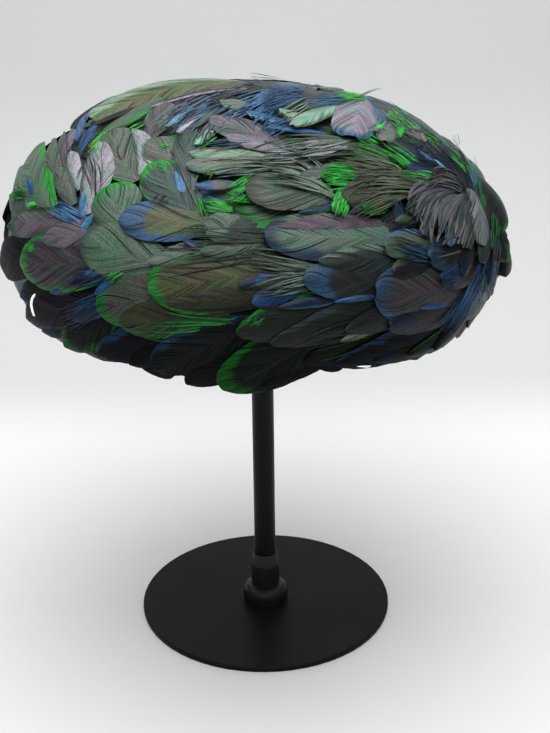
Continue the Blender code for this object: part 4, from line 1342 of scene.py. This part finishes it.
TUFTS = (
    Tuft((489, 236), (478, 294), 13, 31, Dye.ROYAL, Dye.NAVY, 1.9, 11),
    Tuft((482, 272), (453, 324), 16, 36, Dye.ROYAL, Dye.STEEL_BLUE, 1.9, 11),
    Tuft((468, 298), (440, 333), 16, 26, Dye.STEEL_BLUE, Dye.NAVY, 1.5, 9),
    Tuft((489, 268), (485, 284), 6, 13, Dye.BRIGHT_GREEN, Dye.GREEN, 1.5, 12),
    Tuft((84, 222), (50, 206), 14, 23, Dye.LIGHT_BLUE, Dye.ROYAL, 1.5, 10, lift=0.8),
    Tuft((222, 94), (172, 122), 20, 36, Dye.LILAC, Dye.NAVY, 1.5, lift=1.5, bow=0.05),
    Tuft((250, 92), (206, 106), 10, 21, Dye.NAVY_BLACK, Dye.SLATE, 1.9, lift=1.5, bow=0.05),
    Tuft((262, 84), (226, 90), 10, 21, Dye.CHARCOAL, Dye.LILAC, 1.9, lift=1.5),
    Tuft((214, 134), (198, 146), 10, 16, Dye.BRIGHT_GREEN, Dye.GREEN, 1.5, lift=1.2),
    Tuft((220, 162), (206, 176), 8, 16, Dye.YELLOW_GREEN, Dye.GREEN, 1.5, lift=0.8),
    Tuft((306, 94), (262, 97), 14, 47, Dye.ROYAL, Dye.STEEL_BLUE, 1.9, lift=0.8, wild=0.12),
    Tuft((296, 98), (262, 104), 14, 31, Dye.STEEL_BLUE, Dye.ROYAL, 1.5, lift=1.5, wild=0.16),
    Tuft((276, 96), (246, 116), 22, 36, Dye.LIGHT_BLUE, Dye.ROYAL, 1.9, lift=1.2, wild=0.14),
    Tuft((292, 120), (260, 132), 14, 26, Dye.ROYAL, Dye.LIGHT_BLUE, 1.5, lift=1.0, wild=0.12),
    Tuft((308, 104), (280, 122), 14, 14, Dye.PALE_GREY_GREEN, Dye.BLACK, lift=1.0),
    Tuft((352, 100), (306, 102), 7, 21, Dye.STEEL_BLUE, Dye.LIGHT_BLUE, 1.5, lift=0.8),
    Tuft((374, 106), (372, 134), 10, 8, Dye.LIGHT_BLUE, Dye.STEEL_BLUE, 1.6, 16, bow=-0.15),
    # Silver barbs here: painted highlight.
    Tuft((358, 138), (254, 156), 13, 16, Dye.SILVER, Dye.BLACK, 2.6, 14, lift=0.9, bow=-0.07),
    Tuft((368, 146), (268, 146), 14, 16, Dye.BROWN_GREY, Dye.SLATE, 2.4, 14, lift=0.7, bow=0.07),
    Tuft(
        (326, 190), (264, 158), 18, 22, Dye.PALE_GREY_GREEN, Dye.BLACK, 2.4, 14,
        lift=0.8, bow=0.15, fan=1.6,
    ),
    Tuft((332, 194), (262, 178), 10, 21, Dye.PALE_GREY_GREEN, Dye.BLACK, 1.9, lift=1.2, bow=0.10, fan=1.4),
    Tuft((356, 176), (322, 174), 22, 31, Dye.BRIGHT_GREEN, Dye.GREEN, 1.9, lift=1.0, wild=0.10),
    Tuft((348, 186), (338, 216), 14, 21, Dye.BRIGHT_GREEN, Dye.GREEN, 1.9, lift=0.8),
    Tuft((412, 182), (338, 160), 22, 36, Dye.BROWN_GREY, Dye.OLIVE, 1.9, lift=0.8, bow=0.06),
    Tuft((400, 170), (346, 146), 20, 26, Dye.GREEN, Dye.BROWN_GREY, 1.9, lift=0.8, bow=0.08),
    Tuft((424, 184), (384, 146), 12, 21, Dye.BRIGHT_GREEN, Dye.GREEN, 1.9, lift=1.2, bow=0.12),
    Tuft((448, 188), (400, 172), 10, 21, Dye.BRIGHT_GREEN, Dye.BROWN_GREY, 1.9, lift=1.2, bow=0.06),
    Tuft((440, 188), (352, 182), 22, 31, Dye.OLIVE, Dye.BROWN_GREY, 1.9, lift=0.6, bow=0.05),
    Tuft((378, 148), (356, 138), 12, 18, Dye.BRIGHT_GREEN, Dye.GREEN, 1.9, lift=0.8),
    Tuft((366, 98), (336, 95), 6, 21, Dye.BRIGHT_GREEN, Dye.GREEN, 1.5, 14, 0.9, lift=0.4),
    Tuft((416, 128), (386, 114), 8, 28, Dye.BRIGHT_GREEN, Dye.BROWN_GREY, 1.9, 14, 0.9, lift=0.4, wild=0.03),
    Tuft((450, 150), (422, 134), 8, 21, Dye.BRIGHT_GREEN, Dye.CHARCOAL, 1.5, 14, 0.9, lift=0.4),
    Tuft((470, 172), (450, 150), 8, 21, Dye.BRIGHT_GREEN, Dye.SLATE, 1.5, 14, 0.9, lift=0.4),
    Tuft((458, 184), (410, 150), 34, 52, Dye.NAVY_BLACK, Dye.NAVY, 1.9, lift=0.2, bow=0.08, wild=0.10),
    Tuft((452, 182), (382, 124), 24, 60, Dye.CHARCOAL, Dye.SLATE, 2.3, wild=0.035),
    Tuft((462, 184), (424, 140), 16, 40, Dye.BLACK, Dye.MAUVE, 2.2, 14, wild=0.035),
    Tuft((432, 150), (386, 108), 14, 20, Dye.BRIGHT_GREEN, Dye.DARK_GREEN, 2.4, 14, 0.8, lift=0.3, wild=0.03),
    Tuft((452, 172), (404, 148), 22, 30, Dye.NAVY, Dye.STEEL_BLUE, 2.4, 14, lift=0.2, wild=0.12),
    Tuft((466, 188), (436, 146), 22, 42, Dye.CHARCOAL, Dye.NAVY, 1.9, lift=0.2, bow=0.06, wild=0.10),
    Tuft((462, 186), (424, 180), 14, 26, Dye.MAUVE, Dye.BLACK, 1.9, lift=1.0, bow=0.12),
    Tuft((478, 188), (468, 160), 10, 18, Dye.LIGHT_BLUE, Dye.GREEN, 1.5, lift=0.0),
    Tuft((456, 192), (408, 214), 12, 14, Dye.LILAC, Dye.SLATE, 4.4, 15, 0.29, lift=0.8, bow=0.15, fan=2.2),
    Tuft((458, 194), (430, 238), 12, 14, Dye.LILAC, Dye.SLATE, 4.4, 15, 0.29, lift=0.8, bow=0.10, fan=2.0),
    Tuft((464, 196), (454, 246), 12, 14, Dye.SLATE, Dye.LILAC, 4.4, 15, 0.29, lift=0.8, fan=1.5),
    Tuft((410, 184), (344, 212), 26, 30, Dye.BROWN_GREY, Dye.OLIVE, 1.8, 12, 0.5, lift=0.5, bow=0.06),
    Tuft((356, 99), (381, 88), 2, 2, Dye.SLATE, Dye.CHARCOAL, 1.1, wild=0.02, free=True),
    Tuft((458, 146), (452, 134), 5, 3, Dye.BLACK, Dye.CHARCOAL, 0.7, fan=2.0, wild=0.02, free=True),
    Tuft((26, 196), (10, 190), 8, 9, Dye.GREEN, Dye.DARK_GREEN, 1.8, lift=2.0, fan=2.0, free=True),
    Tuft((282, 82), (248, 77), 6, 9, Dye.CHARCOAL, Dye.BLACK, 1.2, lift=1.0, free=True),
    Tuft((272, 306), (248, 326), 12, 16, Dye.GREEN, Dye.DARK_GREEN, 1.9, 6),
    Tuft((236, 322), (120, 328), 10, 16, Dye.GREEN, Dye.DARK_GREEN, 1.9, 6, 0.5),
    # A white crescent on a glossy curled tip: painted highlight.
    Tuft((40, 290), (34, 320), 1, 1, Dye.WHITE, Dye.WHITE, 3.0, 9, 1.4, lift=1.2, bow=0.3, wild=0.0),
    Tuft((128, 268), (106, 282), 8, 14, Dye.GREEN, Dye.DARK_GREEN, 1.9, 8),
    Tuft((232, 210), (202, 202), 12, 18, Dye.BRIGHT_GREEN, Dye.GREEN, 2.2, 10, 0.5),
    Tuft((206, 218), (200, 196), 8, 12, Dye.BRIGHT_GREEN, Dye.DARK_GREEN, 1.9, 11, 0.5),
    Tuft((256, 178), (226, 198), 14, 22, Dye.BRIGHT_GREEN, Dye.DARK_GREEN, 2.2, 12, 0.45),
    Tuft((252, 200), (222, 194), 8, 12, Dye.GREEN, Dye.BRIGHT_GREEN, 1.9, 12, 0.45),
    Tuft((38, 204), (25, 206), 5, 8, Dye.BRIGHT_GREEN, Dye.GREEN, 1.5, 8, lift=1.8),
    Tuft((184, 174), (154, 164), 7, 14, Dye.BRIGHT_GREEN, Dye.GREEN, 2.0, 13, 0.7, lift=1.0),
    Tuft((182, 138), (156, 145), 7, 14, Dye.BRIGHT_GREEN, Dye.GREEN, 2.0, 13, 0.7, lift=1.6),
    Tuft((146, 124), (128, 132), 6, 10, Dye.BRIGHT_GREEN, Dye.GREEN, 1.9, 12, 0.75, lift=2.6),
    Tuft((110, 134), (88, 150), 9, 16, Dye.BRIGHT_GREEN, Dye.YELLOW_GREEN, 2.0, 12, 0.75, lift=2.6),
    Tuft((226, 98), (168, 130), 18, 30, Dye.LIGHT_BLUE, Dye.NAVY_BLACK, 1.8, 15, lift=1.8, wild=0.08),
    Tuft((266, 98), (208, 122), 16, 28, Dye.NAVY_BLACK, Dye.LIGHT_BLUE, 1.8, 15, lift=1.4, wild=0.08),
    Tuft((218, 112), (190, 146), 12, 18, Dye.LILAC, Dye.BLACK, 1.8, 15, lift=1.6, wild=0.08),
    Tuft((186, 104), (150, 132), 10, 14, Dye.PALE_GREY_GREEN, Dye.LILAC, 1.7, 14, lift=2.0),
    Tuft((290, 140), (196, 150), 10, 14, Dye.BLACK, Dye.STEEL_BLUE, 1.6, 15, lift=1.0, bow=0.05),
    Tuft((300, 168), (196, 172), 8, 12, Dye.BLACK, Dye.PALE_GREY_GREEN, 1.6, 14, lift=1.0, bow=0.04),
    Tuft((268, 236), (176, 234), 16, 18, Dye.BLACK, Dye.DARK_GREEN, 1.5, 10, 0.4, lift=0.6),
    Tuft((318, 270), (246, 258), 14, 18, Dye.PALE_GREY_GREEN, Dye.BLACK, 1.6, 9, 0.35, lift=0.6),
    Tuft((326, 276), (250, 292), 14, 16, Dye.MINT, Dye.BLACK, 1.5, 8, 0.35, lift=0.6),
    Tuft((130, 262), (62, 284), 12, 22, Dye.BLACK, Dye.ROYAL, 1.8, 9, 0.4),
    Tuft((112, 298), (58, 322), 22, 26, Dye.ROYAL, Dye.BLACK, 2.0, 8, 0.3),
    Tuft((72, 172), (62, 138), 14, 14, Dye.MAUVE, Dye.SLATE, 1.8, 10, 0.55, lift=1.8),
    Tuft((268, 252), (150, 264), 14, 12, Dye.BLACK, Dye.GREY_GREEN, 1.5, 9, 0.35, lift=0.4, bow=0.04),
    Tuft((176, 190), (150, 206), 10, 8, Dye.BLACK, Dye.SLATE, 1.4, 11, 0.4, lift=0.8),
    Tuft((122, 168), (104, 132), 12, 10, Dye.BLACK, Dye.BROWN_GREY, 1.4, 12, 0.5, lift=2.0, bow=-0.08),
    Tuft((96, 200), (92, 150), 10, 9, Dye.LILAC, Dye.BLACK, 1.5, 11, lift=2.0, bow=0.06),
    Tuft((440, 262), (392, 246), 12, 16, Dye.STEEL_BLUE, Dye.BLACK, 1.8, 12, 0.35, lift=0.6),
    Tuft((404, 224), (392, 196), 8, 12, Dye.BLACK, Dye.STEEL_BLUE, 1.9, 13, 0.4, lift=0.8),
    Tuft((470, 262), (440, 286), 16, 20, Dye.ROYAL, Dye.BLACK, 1.9, 12, 0.35, lift=0.6),
    Tuft((400, 318), (306, 346), 14, 14, Dye.BLACK, Dye.DARK_GREEN, 1.6, 7, 0.4, lift=0.3),
    Tuft((494, 206), (496, 248), 7, 14, Dye.GREEN, Dye.BLACK, 2.0, 16, 0.4, lift=3.0, wild=0.03),
    Tuft((497, 236), (494, 272), 7, 12, Dye.BLACK, Dye.STEEL_BLUE, 2.0, 16, 0.4, lift=3.0, wild=0.03),
    Tuft((496, 258), (488, 292), 6, 12, Dye.ROYAL, Dye.NAVY, 1.9, 14, 0.5, lift=2.0, wild=0.03),
    # A thin white line on the lower edge: painted highlight.
    Tuft((371, 366), (354, 367), 1, 1, Dye.WHITE, Dye.WHITE, 2.0, 9, 1.6, lift=2.2, wild=0.0),
)


@dataclass(frozen=True)
class FeatherLayout:
    """Turns charted feathers, and the rule that fills in the rest, into rows to lay."""

    dome: Dome
    view: CameraView
    pixels_per_metre: float = 1930.0
    root_height: float = 0.0040
    tip_height: float = 0.0076
    layer_step: float = 0.00012
    vane_from: float = 3.0
    held_rise: float = 0.0036
    least_facing: float = 0.25
    charted_arch: float = 0.7
    round_the_side: float = -0.2
    barb_starts: tuple[float, float] = (-0.05, 0.12)
    barb_lengths: tuple[float, float] = (0.72, 1.0)
    barb_widths: tuple[float, float] = (0.7, 1.4)
    barb_lifts: tuple[float, float] = (-0.4, 0.4)
    barb_bow: float = 0.04
    first_dye_share: float = 0.65

    def place(self, plume: Plume, tone: float) -> Row:
        """Lays a charted feather between its root and its tip.

        Args:
            plume: the feather.
            tone: how bright its dyes are made, partly its own dye and partly painted shade.

        Returns:
            Its row.
        """
        lift = plume.lift * MILLIMETRE + plume.layer * self.layer_step
        root, base = self.dome.seen_at(self.view, plume.root, self.root_height + lift)
        tip, top = self.dome.seen_at(self.view, plume.tip, self.tip_height + lift)
        quill = self.dome.at(root, 0.0)
        normal = self.dome.normal(quill)
        way = tip.normalized()
        ahead = way * (quill.dot(normal) / max(way.dot(normal), self.least_facing)) - quill
        ahead -= normal * ahead.dot(normal)
        return Row(
            quill=quill, heading=ahead.normalized(), normal=normal,
            length=ahead.length, width=plume.width / self.pixels_per_metre,
            base=base, rise=min(top - base, self.held_rise) if plume.held else top - base,
            twist=plume.twist * MILLIMETRE, bow=plume.bow, shape=plume.shape,
            body=plume.body, rim=plume.rim, bands=plume.bands, pale_quill=plume.quill, tone=tone,
            crest=plume.crest * MILLIMETRE, arch=self.charted_arch,
        )

    def charted(self, chart: Chart) -> list[Row]:
        """Lays charted feathers in turn."""
        return [self.place(plume, chart.tone * plume.tone) for plume in chart.plumes]

    def strands(self, tufts: tuple[Tuft, ...]) -> list[Row]:
        """Lays the loose barbs of the charted tufts.

        Args:
            tufts: the tufts.

        Returns:
            A row for each barb.
        """
        luck = random.Random(SEED)
        rows = []
        for tuft in tufts:
            along = Vector((tuft.end[0] - tuft.start[0], tuft.end[1] - tuft.start[1]))
            side = Vector((-along.y, along.x)).normalized()
            for number in range(tuft.count):
                across = ((number + luck.random()) / tuft.count - 0.5) * tuft.spread
                start = Vector(tuft.start) + side * across + along * luck.uniform(*self.barb_starts)
                stray = side * (across * (tuft.fan - 1.0) + luck.gauss(0.0, tuft.wild) * along.length)
                end = start + along * luck.uniform(*self.barb_lengths) + stray
                dye, other = tuft.dye, tuft.other
                if luck.random() >= self.first_dye_share:
                    dye, other = other, dye
                plume = Plume(
                    tip=(end.x, end.y), root=(start.x, start.y),
                    width=tuft.thickness * luck.uniform(*self.barb_widths),
                    body=dye, rim=other, bands=(luck.choice((0.0, 0.2, 0.4)), luck.choice((0.0, 0.4)), 0.0),
                    shape=Shape.STRAND if tuft.thickness < self.vane_from else Shape.LONG,
                    layer=tuft.layer, lift=tuft.lift + luck.uniform(*self.barb_lifts),
                    bow=tuft.bow + luck.gauss(0.0, self.barb_bow), held=not tuft.free,
                )
                rows.append(self.place(plume, tuft.tone))
        return rows

    def over_hem(self, point: Vector, height: float) -> bool:
        """Whether a point shows above the hat's lower outline in the photograph.

        Args:
            point: the point, near the cap.
            height: how high over the cap the feather lies there.

        Returns:
            True above the outline, and to the left and right of the hat.
        """
        x, y = self.view.pixel(self.dome.seat() @ self.dome.at(point, height))
        for (left, first), (right, second) in zip(HEM_LINE, HEM_LINE[1:]):
            if left <= x <= right:
                return y < first + (second - first) * (x - left) / (right - left)
        return True

    def in_front(self, point: Vector) -> bool:
        """Whether the camera sees the dome at a point, or a little way round its side.

        Args:
            point: a point of the cap.

        Returns:
            True where the camera sees it.
        """
        seat = self.dome.seat()
        outward = seat.to_3x3() @ self.dome.normal(point)
        towards = Vector(self.view.place) - seat @ point
        return outward.dot(towards.normalized()) > self.round_the_side


@dataclass(frozen=True)
class Sweep:
    """The feathers laid by rule: where they lie, how big they are and how they are dyed. Their tone is partly
    their own dye and partly painted shade, lower on the edge than on the crown.
    """

    count: int
    lowest: float
    highest: float
    droop: float
    length: tuple[float, float]
    width: tuple[float, float]
    base: float
    rise: float
    dyes: tuple[tuple[Dye, Dye], ...]
    floor: float
    seed: int
    tone: float
    bottom: float = -0.25
    droop_from: float = 0.035
    scatter: float = 0.02
    swing: float = 0.16
    front_base: float = 0.0006
    front_rise: float = 0.0026
    hem_height: float = 0.003
    hem_share: float = 0.42
    fitting_steps: int = 10
    least_steps: int = 2
    base_spread: float = 0.0005
    twist_spread: float = 0.0006
    bow_spread: float = 0.04

    def rows(self, layout: FeatherLayout) -> list[Row]:
        """Spreads the quills evenly over the dome and lays a feather from each.

        Args:
            layout: the dome and the camera.

        Returns:
            The rows.
        """
        luck = random.Random(self.seed)
        dome = layout.dome
        golden = math.pi * (3.0 - math.sqrt(5.0))
        rows = []
        for number in range(self.count):
            up = self.bottom + (1.0 - self.bottom) * (number + 0.5) / self.count
            flat = math.sqrt(max(0.0, 1.0 - up * up))
            way = Vector((flat * math.cos(golden * number), flat * math.sin(golden * number), up))
            way += Vector([luck.gauss(0, self.scatter) for _ in range(3)])
            way = Vector((way.x * dome.half_width, way.y * dome.half_depth, way.z * dome.rise))
            quill = dome.at(way, 0.0)
            length = luck.uniform(*self.length)
            width = luck.uniform(*self.width)
            if not self.lowest < quill.z < self.highest:
                continue
            heading = dome.flow(quill, self.droop * nearness(quill.z, self.droop_from))
            normal = dome.normal(quill)
            turn = Matrix.Rotation(luck.gauss(0.0, self.swing), 3, normal)
            heading = turn @ (heading - normal * heading.dot(normal)).normalized()
            seen = layout.in_front(quill)
            fitting = self.fitting(layout, quill, heading, length, width if seen else 0.0)
            body, rim = luck.choice(self.dyes)
            row = Row(
                quill=quill, heading=heading, normal=normal, length=fitting, width=width,
                base=(self.front_base if seen else self.base) + luck.uniform(0.0, self.base_spread),
                rise=self.front_rise if seen else self.rise,
                twist=luck.gauss(0.0, self.twist_spread), bow=luck.gauss(0.0, self.bow_spread),
                shape=luck.choice((Shape.PLAIN, Shape.PLAIN, Shape.PLAIN_SPLIT)), body=body, rim=rim,
                bands=(luck.choice((0.0, 0.1, 0.2)), luck.choice((0.0, 0.2)), luck.choice((0.0, 0.25))),
                pale_quill=luck.choice((0.0, 0.0, 0.5)), tone=self.tone,
            )
            rows.append(row)
        return rows

    def fitting(
        self, layout: FeatherLayout, quill: Vector, heading: Vector, length: float, width: float
    ) -> float:
        """The part of a feather's length that stays above the lowest level and, in front, above the hem.

        Args:
            layout: the dome and the camera.
            quill: where it starts.
            heading: its direction.
            length: its full length.
            width: its width in front, and 0 behind, where the photograph shows no hem.

        Returns:
            The length that fits.
        """
        spot, course = quill, heading
        for step in range(self.fitting_steps):
            side = course.cross(layout.dome.normal(spot)) * (self.hem_share * width)
            edges = (spot - side, spot + side)
            clear = width == 0.0 or all(layout.over_hem(edge, self.hem_height) for edge in edges)
            if (spot.z < self.floor or not clear) and step > self.least_steps:
                return length * step / self.fitting_steps
            spot, course = layout.dome.step(spot, course, length / self.fitting_steps)
        return length


CROWN_SWEEP = Sweep(
    count=600, lowest=0.012, highest=0.08, droop=0.45, length=(0.048, 0.064), width=(0.024, 0.034),
    base=0.0022, rise=0.0052, floor=-0.006, seed=3, tone=0.42,
    dyes=(
        (Dye.GREY_GREEN, Dye.GREEN),
        (Dye.SLATE, Dye.DARK_GREEN),
        (Dye.MAUVE, Dye.CHARCOAL),
        (Dye.PURPLE_BROWN, Dye.GREEN),
        (Dye.OLIVE, Dye.STEEL_BLUE),
        (Dye.BROWN_GREY, Dye.ROYAL),
        (Dye.PALE_GREY_GREEN, Dye.GREEN),
        (Dye.CHARCOAL, Dye.ROYAL),
        (Dye.SLATE, Dye.LIGHT_BLUE),
    ),
)
# The low tone here is partly the feathers' own dark dye and partly painted shade on the underside.
EDGE_SWEEP = Sweep(
    count=520, lowest=0.0, highest=0.020, droop=0.55, length=(0.036, 0.050), width=(0.022, 0.032),
    base=0.0006, rise=0.0030, floor=-0.018, seed=5, tone=0.18,
    dyes=(
        (Dye.CHARCOAL, Dye.NAVY),
        (Dye.BLACK_GREEN, Dye.GREEN),
        (Dye.AUBERGINE, Dye.STEEL_BLUE),
        (Dye.NAVY_BLACK, Dye.BLACK),
        (Dye.CHARCOAL, Dye.DARK_GREEN),
    ),
)


class Hat:
    """The feathers on the hat, in pieces that stand for the part's own layers."""

    unevenness: float = 0.0022

    def __init__(self, dome: Dome, view: CameraView) -> None:
        """Gets the shapes, the finishes and the layout ready.

        Args:
            dome: the cap.
            view: the photograph's camera.
        """
        self.layout = FeatherLayout(dome, view)
        self.plumage = Plumage(dome)
        barbs = BarbPattern().build()
        self.vanes = FeatherFinish("feather_vanes", 0.36, 0.05, 0.72, 0.16, 0.30).build(barbs)
        self.fluff = FeatherFinish("feather_fluff", 0.40, 0.04, 0.40, 0.18, 0.20).build(barbs)
        self.dark = FeatherFinish("feather_edge", 0.36, 0.0, 0.60, 0.04, 0.30).build(barbs)

    def build(self) -> None:
        """Builds the pieces and joins them to the frame."""
        layout = self.layout
        edge = EDGE_SWEEP.rows(layout) + layout.charted(RIM)
        crown = CROWN_SWEEP.rows(layout)
        for chart in (MIDDLE, CENTRE, LEFT, TOP):
            crown += layout.charted(chart)
        for name, node, slot, rows, finish in (
            ("edge_feathers", "feather_edge_row", "edge_feathers", edge, self.dark),
            ("crown_feathers", "feather_cover", "cover_feathers", crown, self.vanes),
            ("whorl_feathers", "feather_whorl", "whorl_feathers", layout.charted(WHORL), self.vanes),
            ("loose_barbs", "", "cover_feathers", layout.strands(TUFTS), self.fluff),
        ):
            piece = self.plumage.lay(name, rows, finish, self.unevenness)
            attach(piece, BODY)
            if node:
                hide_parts(node)
            logging.info("%s: %d feathers, %d faces", name, len(rows), len(piece.data.polygons))


@dataclass(frozen=True)
class PlainFinish:
    """A plain dark finish with a fine uneven grain."""

    name: str
    colour: Colour
    roughness: float
    gloss: float = 0.3
    grain_scale: float = 2600.0
    grain_depth: float = 0.00004
    grain_strength: float = 0.4
    wander: float = 0.06
    cloud_from: float = 0.3
    cloud_to: float = 0.7
    darker: float = 0.82
    paler: float = 1.2

    def build(self, grain: bpy.types.ShaderNodeTree) -> bpy.types.Material:
        """Makes the material.

        Args:
            grain: the shared group that draws the grain.

        Returns:
            The material.
        """
        made, graph, shader = start_material(self.name)
        drawn = graph.use(grain, Place=graph.object_place(), Scale=self.grain_scale)
        tone = graph.ramp(drawn["Cloud"], self.cloud_from, self.cloud_to, self.darker, self.paler)
        graph.feed(shader.inputs["Base Color"], graph.shaded(self.colour, tone))
        smooth, dull = self.roughness - self.wander, self.roughness + self.wander
        rough = graph.ramp(drawn["Cloud"], self.cloud_from, self.cloud_to, smooth, dull)
        graph.feed(shader.inputs["Roughness"], rough)
        shader.inputs["Specular IOR Level"].default_value = self.gloss
        bump = graph.bump(drawn["Grain"], self.grain_strength, self.grain_depth)
        graph.feed(shader.inputs["Normal"], bump)
        return made


@dataclass(frozen=True)
class GrainPattern:
    """The shared fine grain of paint and felt, with a broad cloud."""

    cloud_scale: float = 22.0

    def build(self) -> bpy.types.ShaderNodeTree:
        """Makes the group.

        Returns:
            A group with a fine grain and a broad cloud.
        """
        tree = start_group("fine_grain", ("Place",), ("Scale",), ("Grain", "Cloud"))
        graph = Graph(tree)
        given = graph.given()
        put = graph.node("NodeGroupOutput").inputs
        graph.feed(put["Grain"], graph.noise(graph.scaled(given["Place"], given["Scale"]), 1.0, 2.0))
        graph.feed(put["Cloud"], graph.noise(given["Place"], self.cloud_scale, 3.0))
        return tree


SATIN_PAINT = PlainFinish("satin_black_paint", linear(12, 13, 12), 0.42, gloss=0.09)
MATT_POST = PlainFinish("matt_black_post", linear(12, 12, 12), 0.42, gloss=0.12)
MATT_COLLAR = PlainFinish("matt_black_collar", linear(22, 22, 22), 0.40)
FELT = PlainFinish("black_felt", linear(30, 30, 33), 0.92, grain_scale=1400.0, grain_depth=0.0004)


class Stand:
    """The plain black stand and the cap under the feathers: the part's own nodes, dressed."""

    finishes: dict[PlainFinish, tuple[str, ...]] = {
        SATIN_PAINT: ("stand_base",),
        MATT_COLLAR: ("stand_collar",),
        MATT_POST: ("stand_post", "stand_head"),
        FELT: ("hat_cap",),
    }

    def build(self, nodes: dict[str, bpy.types.Object]) -> None:
        """Gives each node its finish.

        Args:
            nodes: the part's nodes by name.
        """
        grain = GrainPattern().build()
        for finish, names in self.finishes.items():
            material = finish.build(grain)
            for name in names:
                nodes[name].data.materials.clear()
                nodes[name].data.materials.append(material)
                logging.info("%s: %s", name, material.name)


@dataclass(frozen=True)
class Lamp:
    """A soft square lamp: where it hangs, what it points at, its side and its power in watts."""

    name: str
    place: tuple[float, float, float]
    target: tuple[float, float, float]
    size: float
    power: float

    def build(self) -> bpy.types.Object:
        """Adds the lamp.

        Returns:
            The lamp.
        """
        data = bpy.data.lights.new(self.name, "AREA")
        data.shape = "SQUARE"
        data.size = self.size
        data.energy = self.power
        lamp = link(self.name, data)
        lamp.location = self.place
        aim = Vector(self.target) - Vector(self.place)
        lamp.rotation_euler = aim.to_track_quat("-Z", "Y").to_euler()
        return lamp


@dataclass(frozen=True)
class Studio:
    """A pale sweep of paper under soft light, with painted shade that greys it towards the back in place of
    the light's falloff.
    """

    sweep_front: float = -2.5
    sweep_bend: float = 1.3
    sweep_radius: float = 0.9
    sweep_height: float = 2.6
    sweep_half: float = 3.0
    bend_steps: int = 16
    near_paper: Colour = (0.67, 0.67, 0.67)
    painted_shade_far_paper: Colour = (0.51, 0.51, 0.51)
    painted_shade_from: float = 0.19
    painted_shade_to: float = 0.33
    paper_roughness: float = 0.6
    room_colour: Colour = (0.86, 0.88, 0.92)
    room_strength: float = 0.18
    lamps: tuple[Lamp, ...] = (
        Lamp("ceiling", (0.0, -0.40, 2.4), (0.0, -0.40, 0.0), 3.2, 128.0),
        Lamp("front_fill", (0.2, -1.8, 1.0), (0.0, 0.0, 0.2), 1.2, 1.2),
        Lamp("wall_wash", (0.0, 1.6, 1.6), (0.0, 2.0, 0.2), 1.2, 4.0),
    )

    def paper(self) -> bpy.types.Material:
        """Makes the paper's finish, with painted shade that turns it greyer behind the stand.

        Returns:
            The material.
        """
        made, graph, shader = start_material("pale_paper")
        # The paper turns greyer towards the back: painted shade for the light's falloff.
        far = graph.ramp(graph.split(graph.object_place())[1], self.painted_shade_from, self.painted_shade_to)
        graph.feed(shader.inputs["Base Color"], graph.mix(far, self.near_paper, self.painted_shade_far_paper))
        shader.inputs["Roughness"].default_value = self.paper_roughness
        return made

    def backdrop(self) -> bpy.types.Object:
        """Makes the floor and the wall as one bent sheet.

        Returns:
            The sheet.
        """
        section = [(self.sweep_front, 0.0), (self.sweep_bend, 0.0)]
        for step in range(1, self.bend_steps + 1):
            angle = math.pi / 2.0 * step / self.bend_steps
            y = self.sweep_bend + self.sweep_radius * math.sin(angle)
            section.append((y, self.sweep_radius * (1.0 - math.cos(angle))))
        section.append((self.sweep_bend + self.sweep_radius, self.sweep_height))
        points = [(side * self.sweep_half, y, z) for y, z in section for side in (-1.0, 1.0)]
        faces = [(2 * n, 2 * n + 1, 2 * n + 3, 2 * n + 2) for n in range(len(section) - 1)]
        mesh = bpy.data.meshes.new("backdrop")
        mesh.from_pydata(points, [], faces)
        mesh.shade_smooth()
        mesh.materials.append(self.paper())
        return link("backdrop", mesh)

    def build(self) -> None:
        """Builds the sweep, the lamps and the room's own light."""
        self.backdrop()
        [lamp.build() for lamp in self.lamps]
        world = bpy.data.worlds.new("room")
        world.use_nodes = True
        light = world.node_tree.nodes["Background"].inputs
        light["Color"].default_value = (*self.room_colour, 1.0)
        light["Strength"].default_value = self.room_strength
        bpy.context.scene.world = world


def main() -> None:
    """Builds everything in order."""
    logging.basicConfig(level=logging.INFO, format="%(message)s")
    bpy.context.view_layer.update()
    view = CameraView()
    view.build()
    Studio().build()
    Stand().build(frame["nodes"])
    Hat(Dome(), view).build()
    bpy.context.scene.view_settings.view_transform = "Standard"


if __name__ == "__main__":
    main()
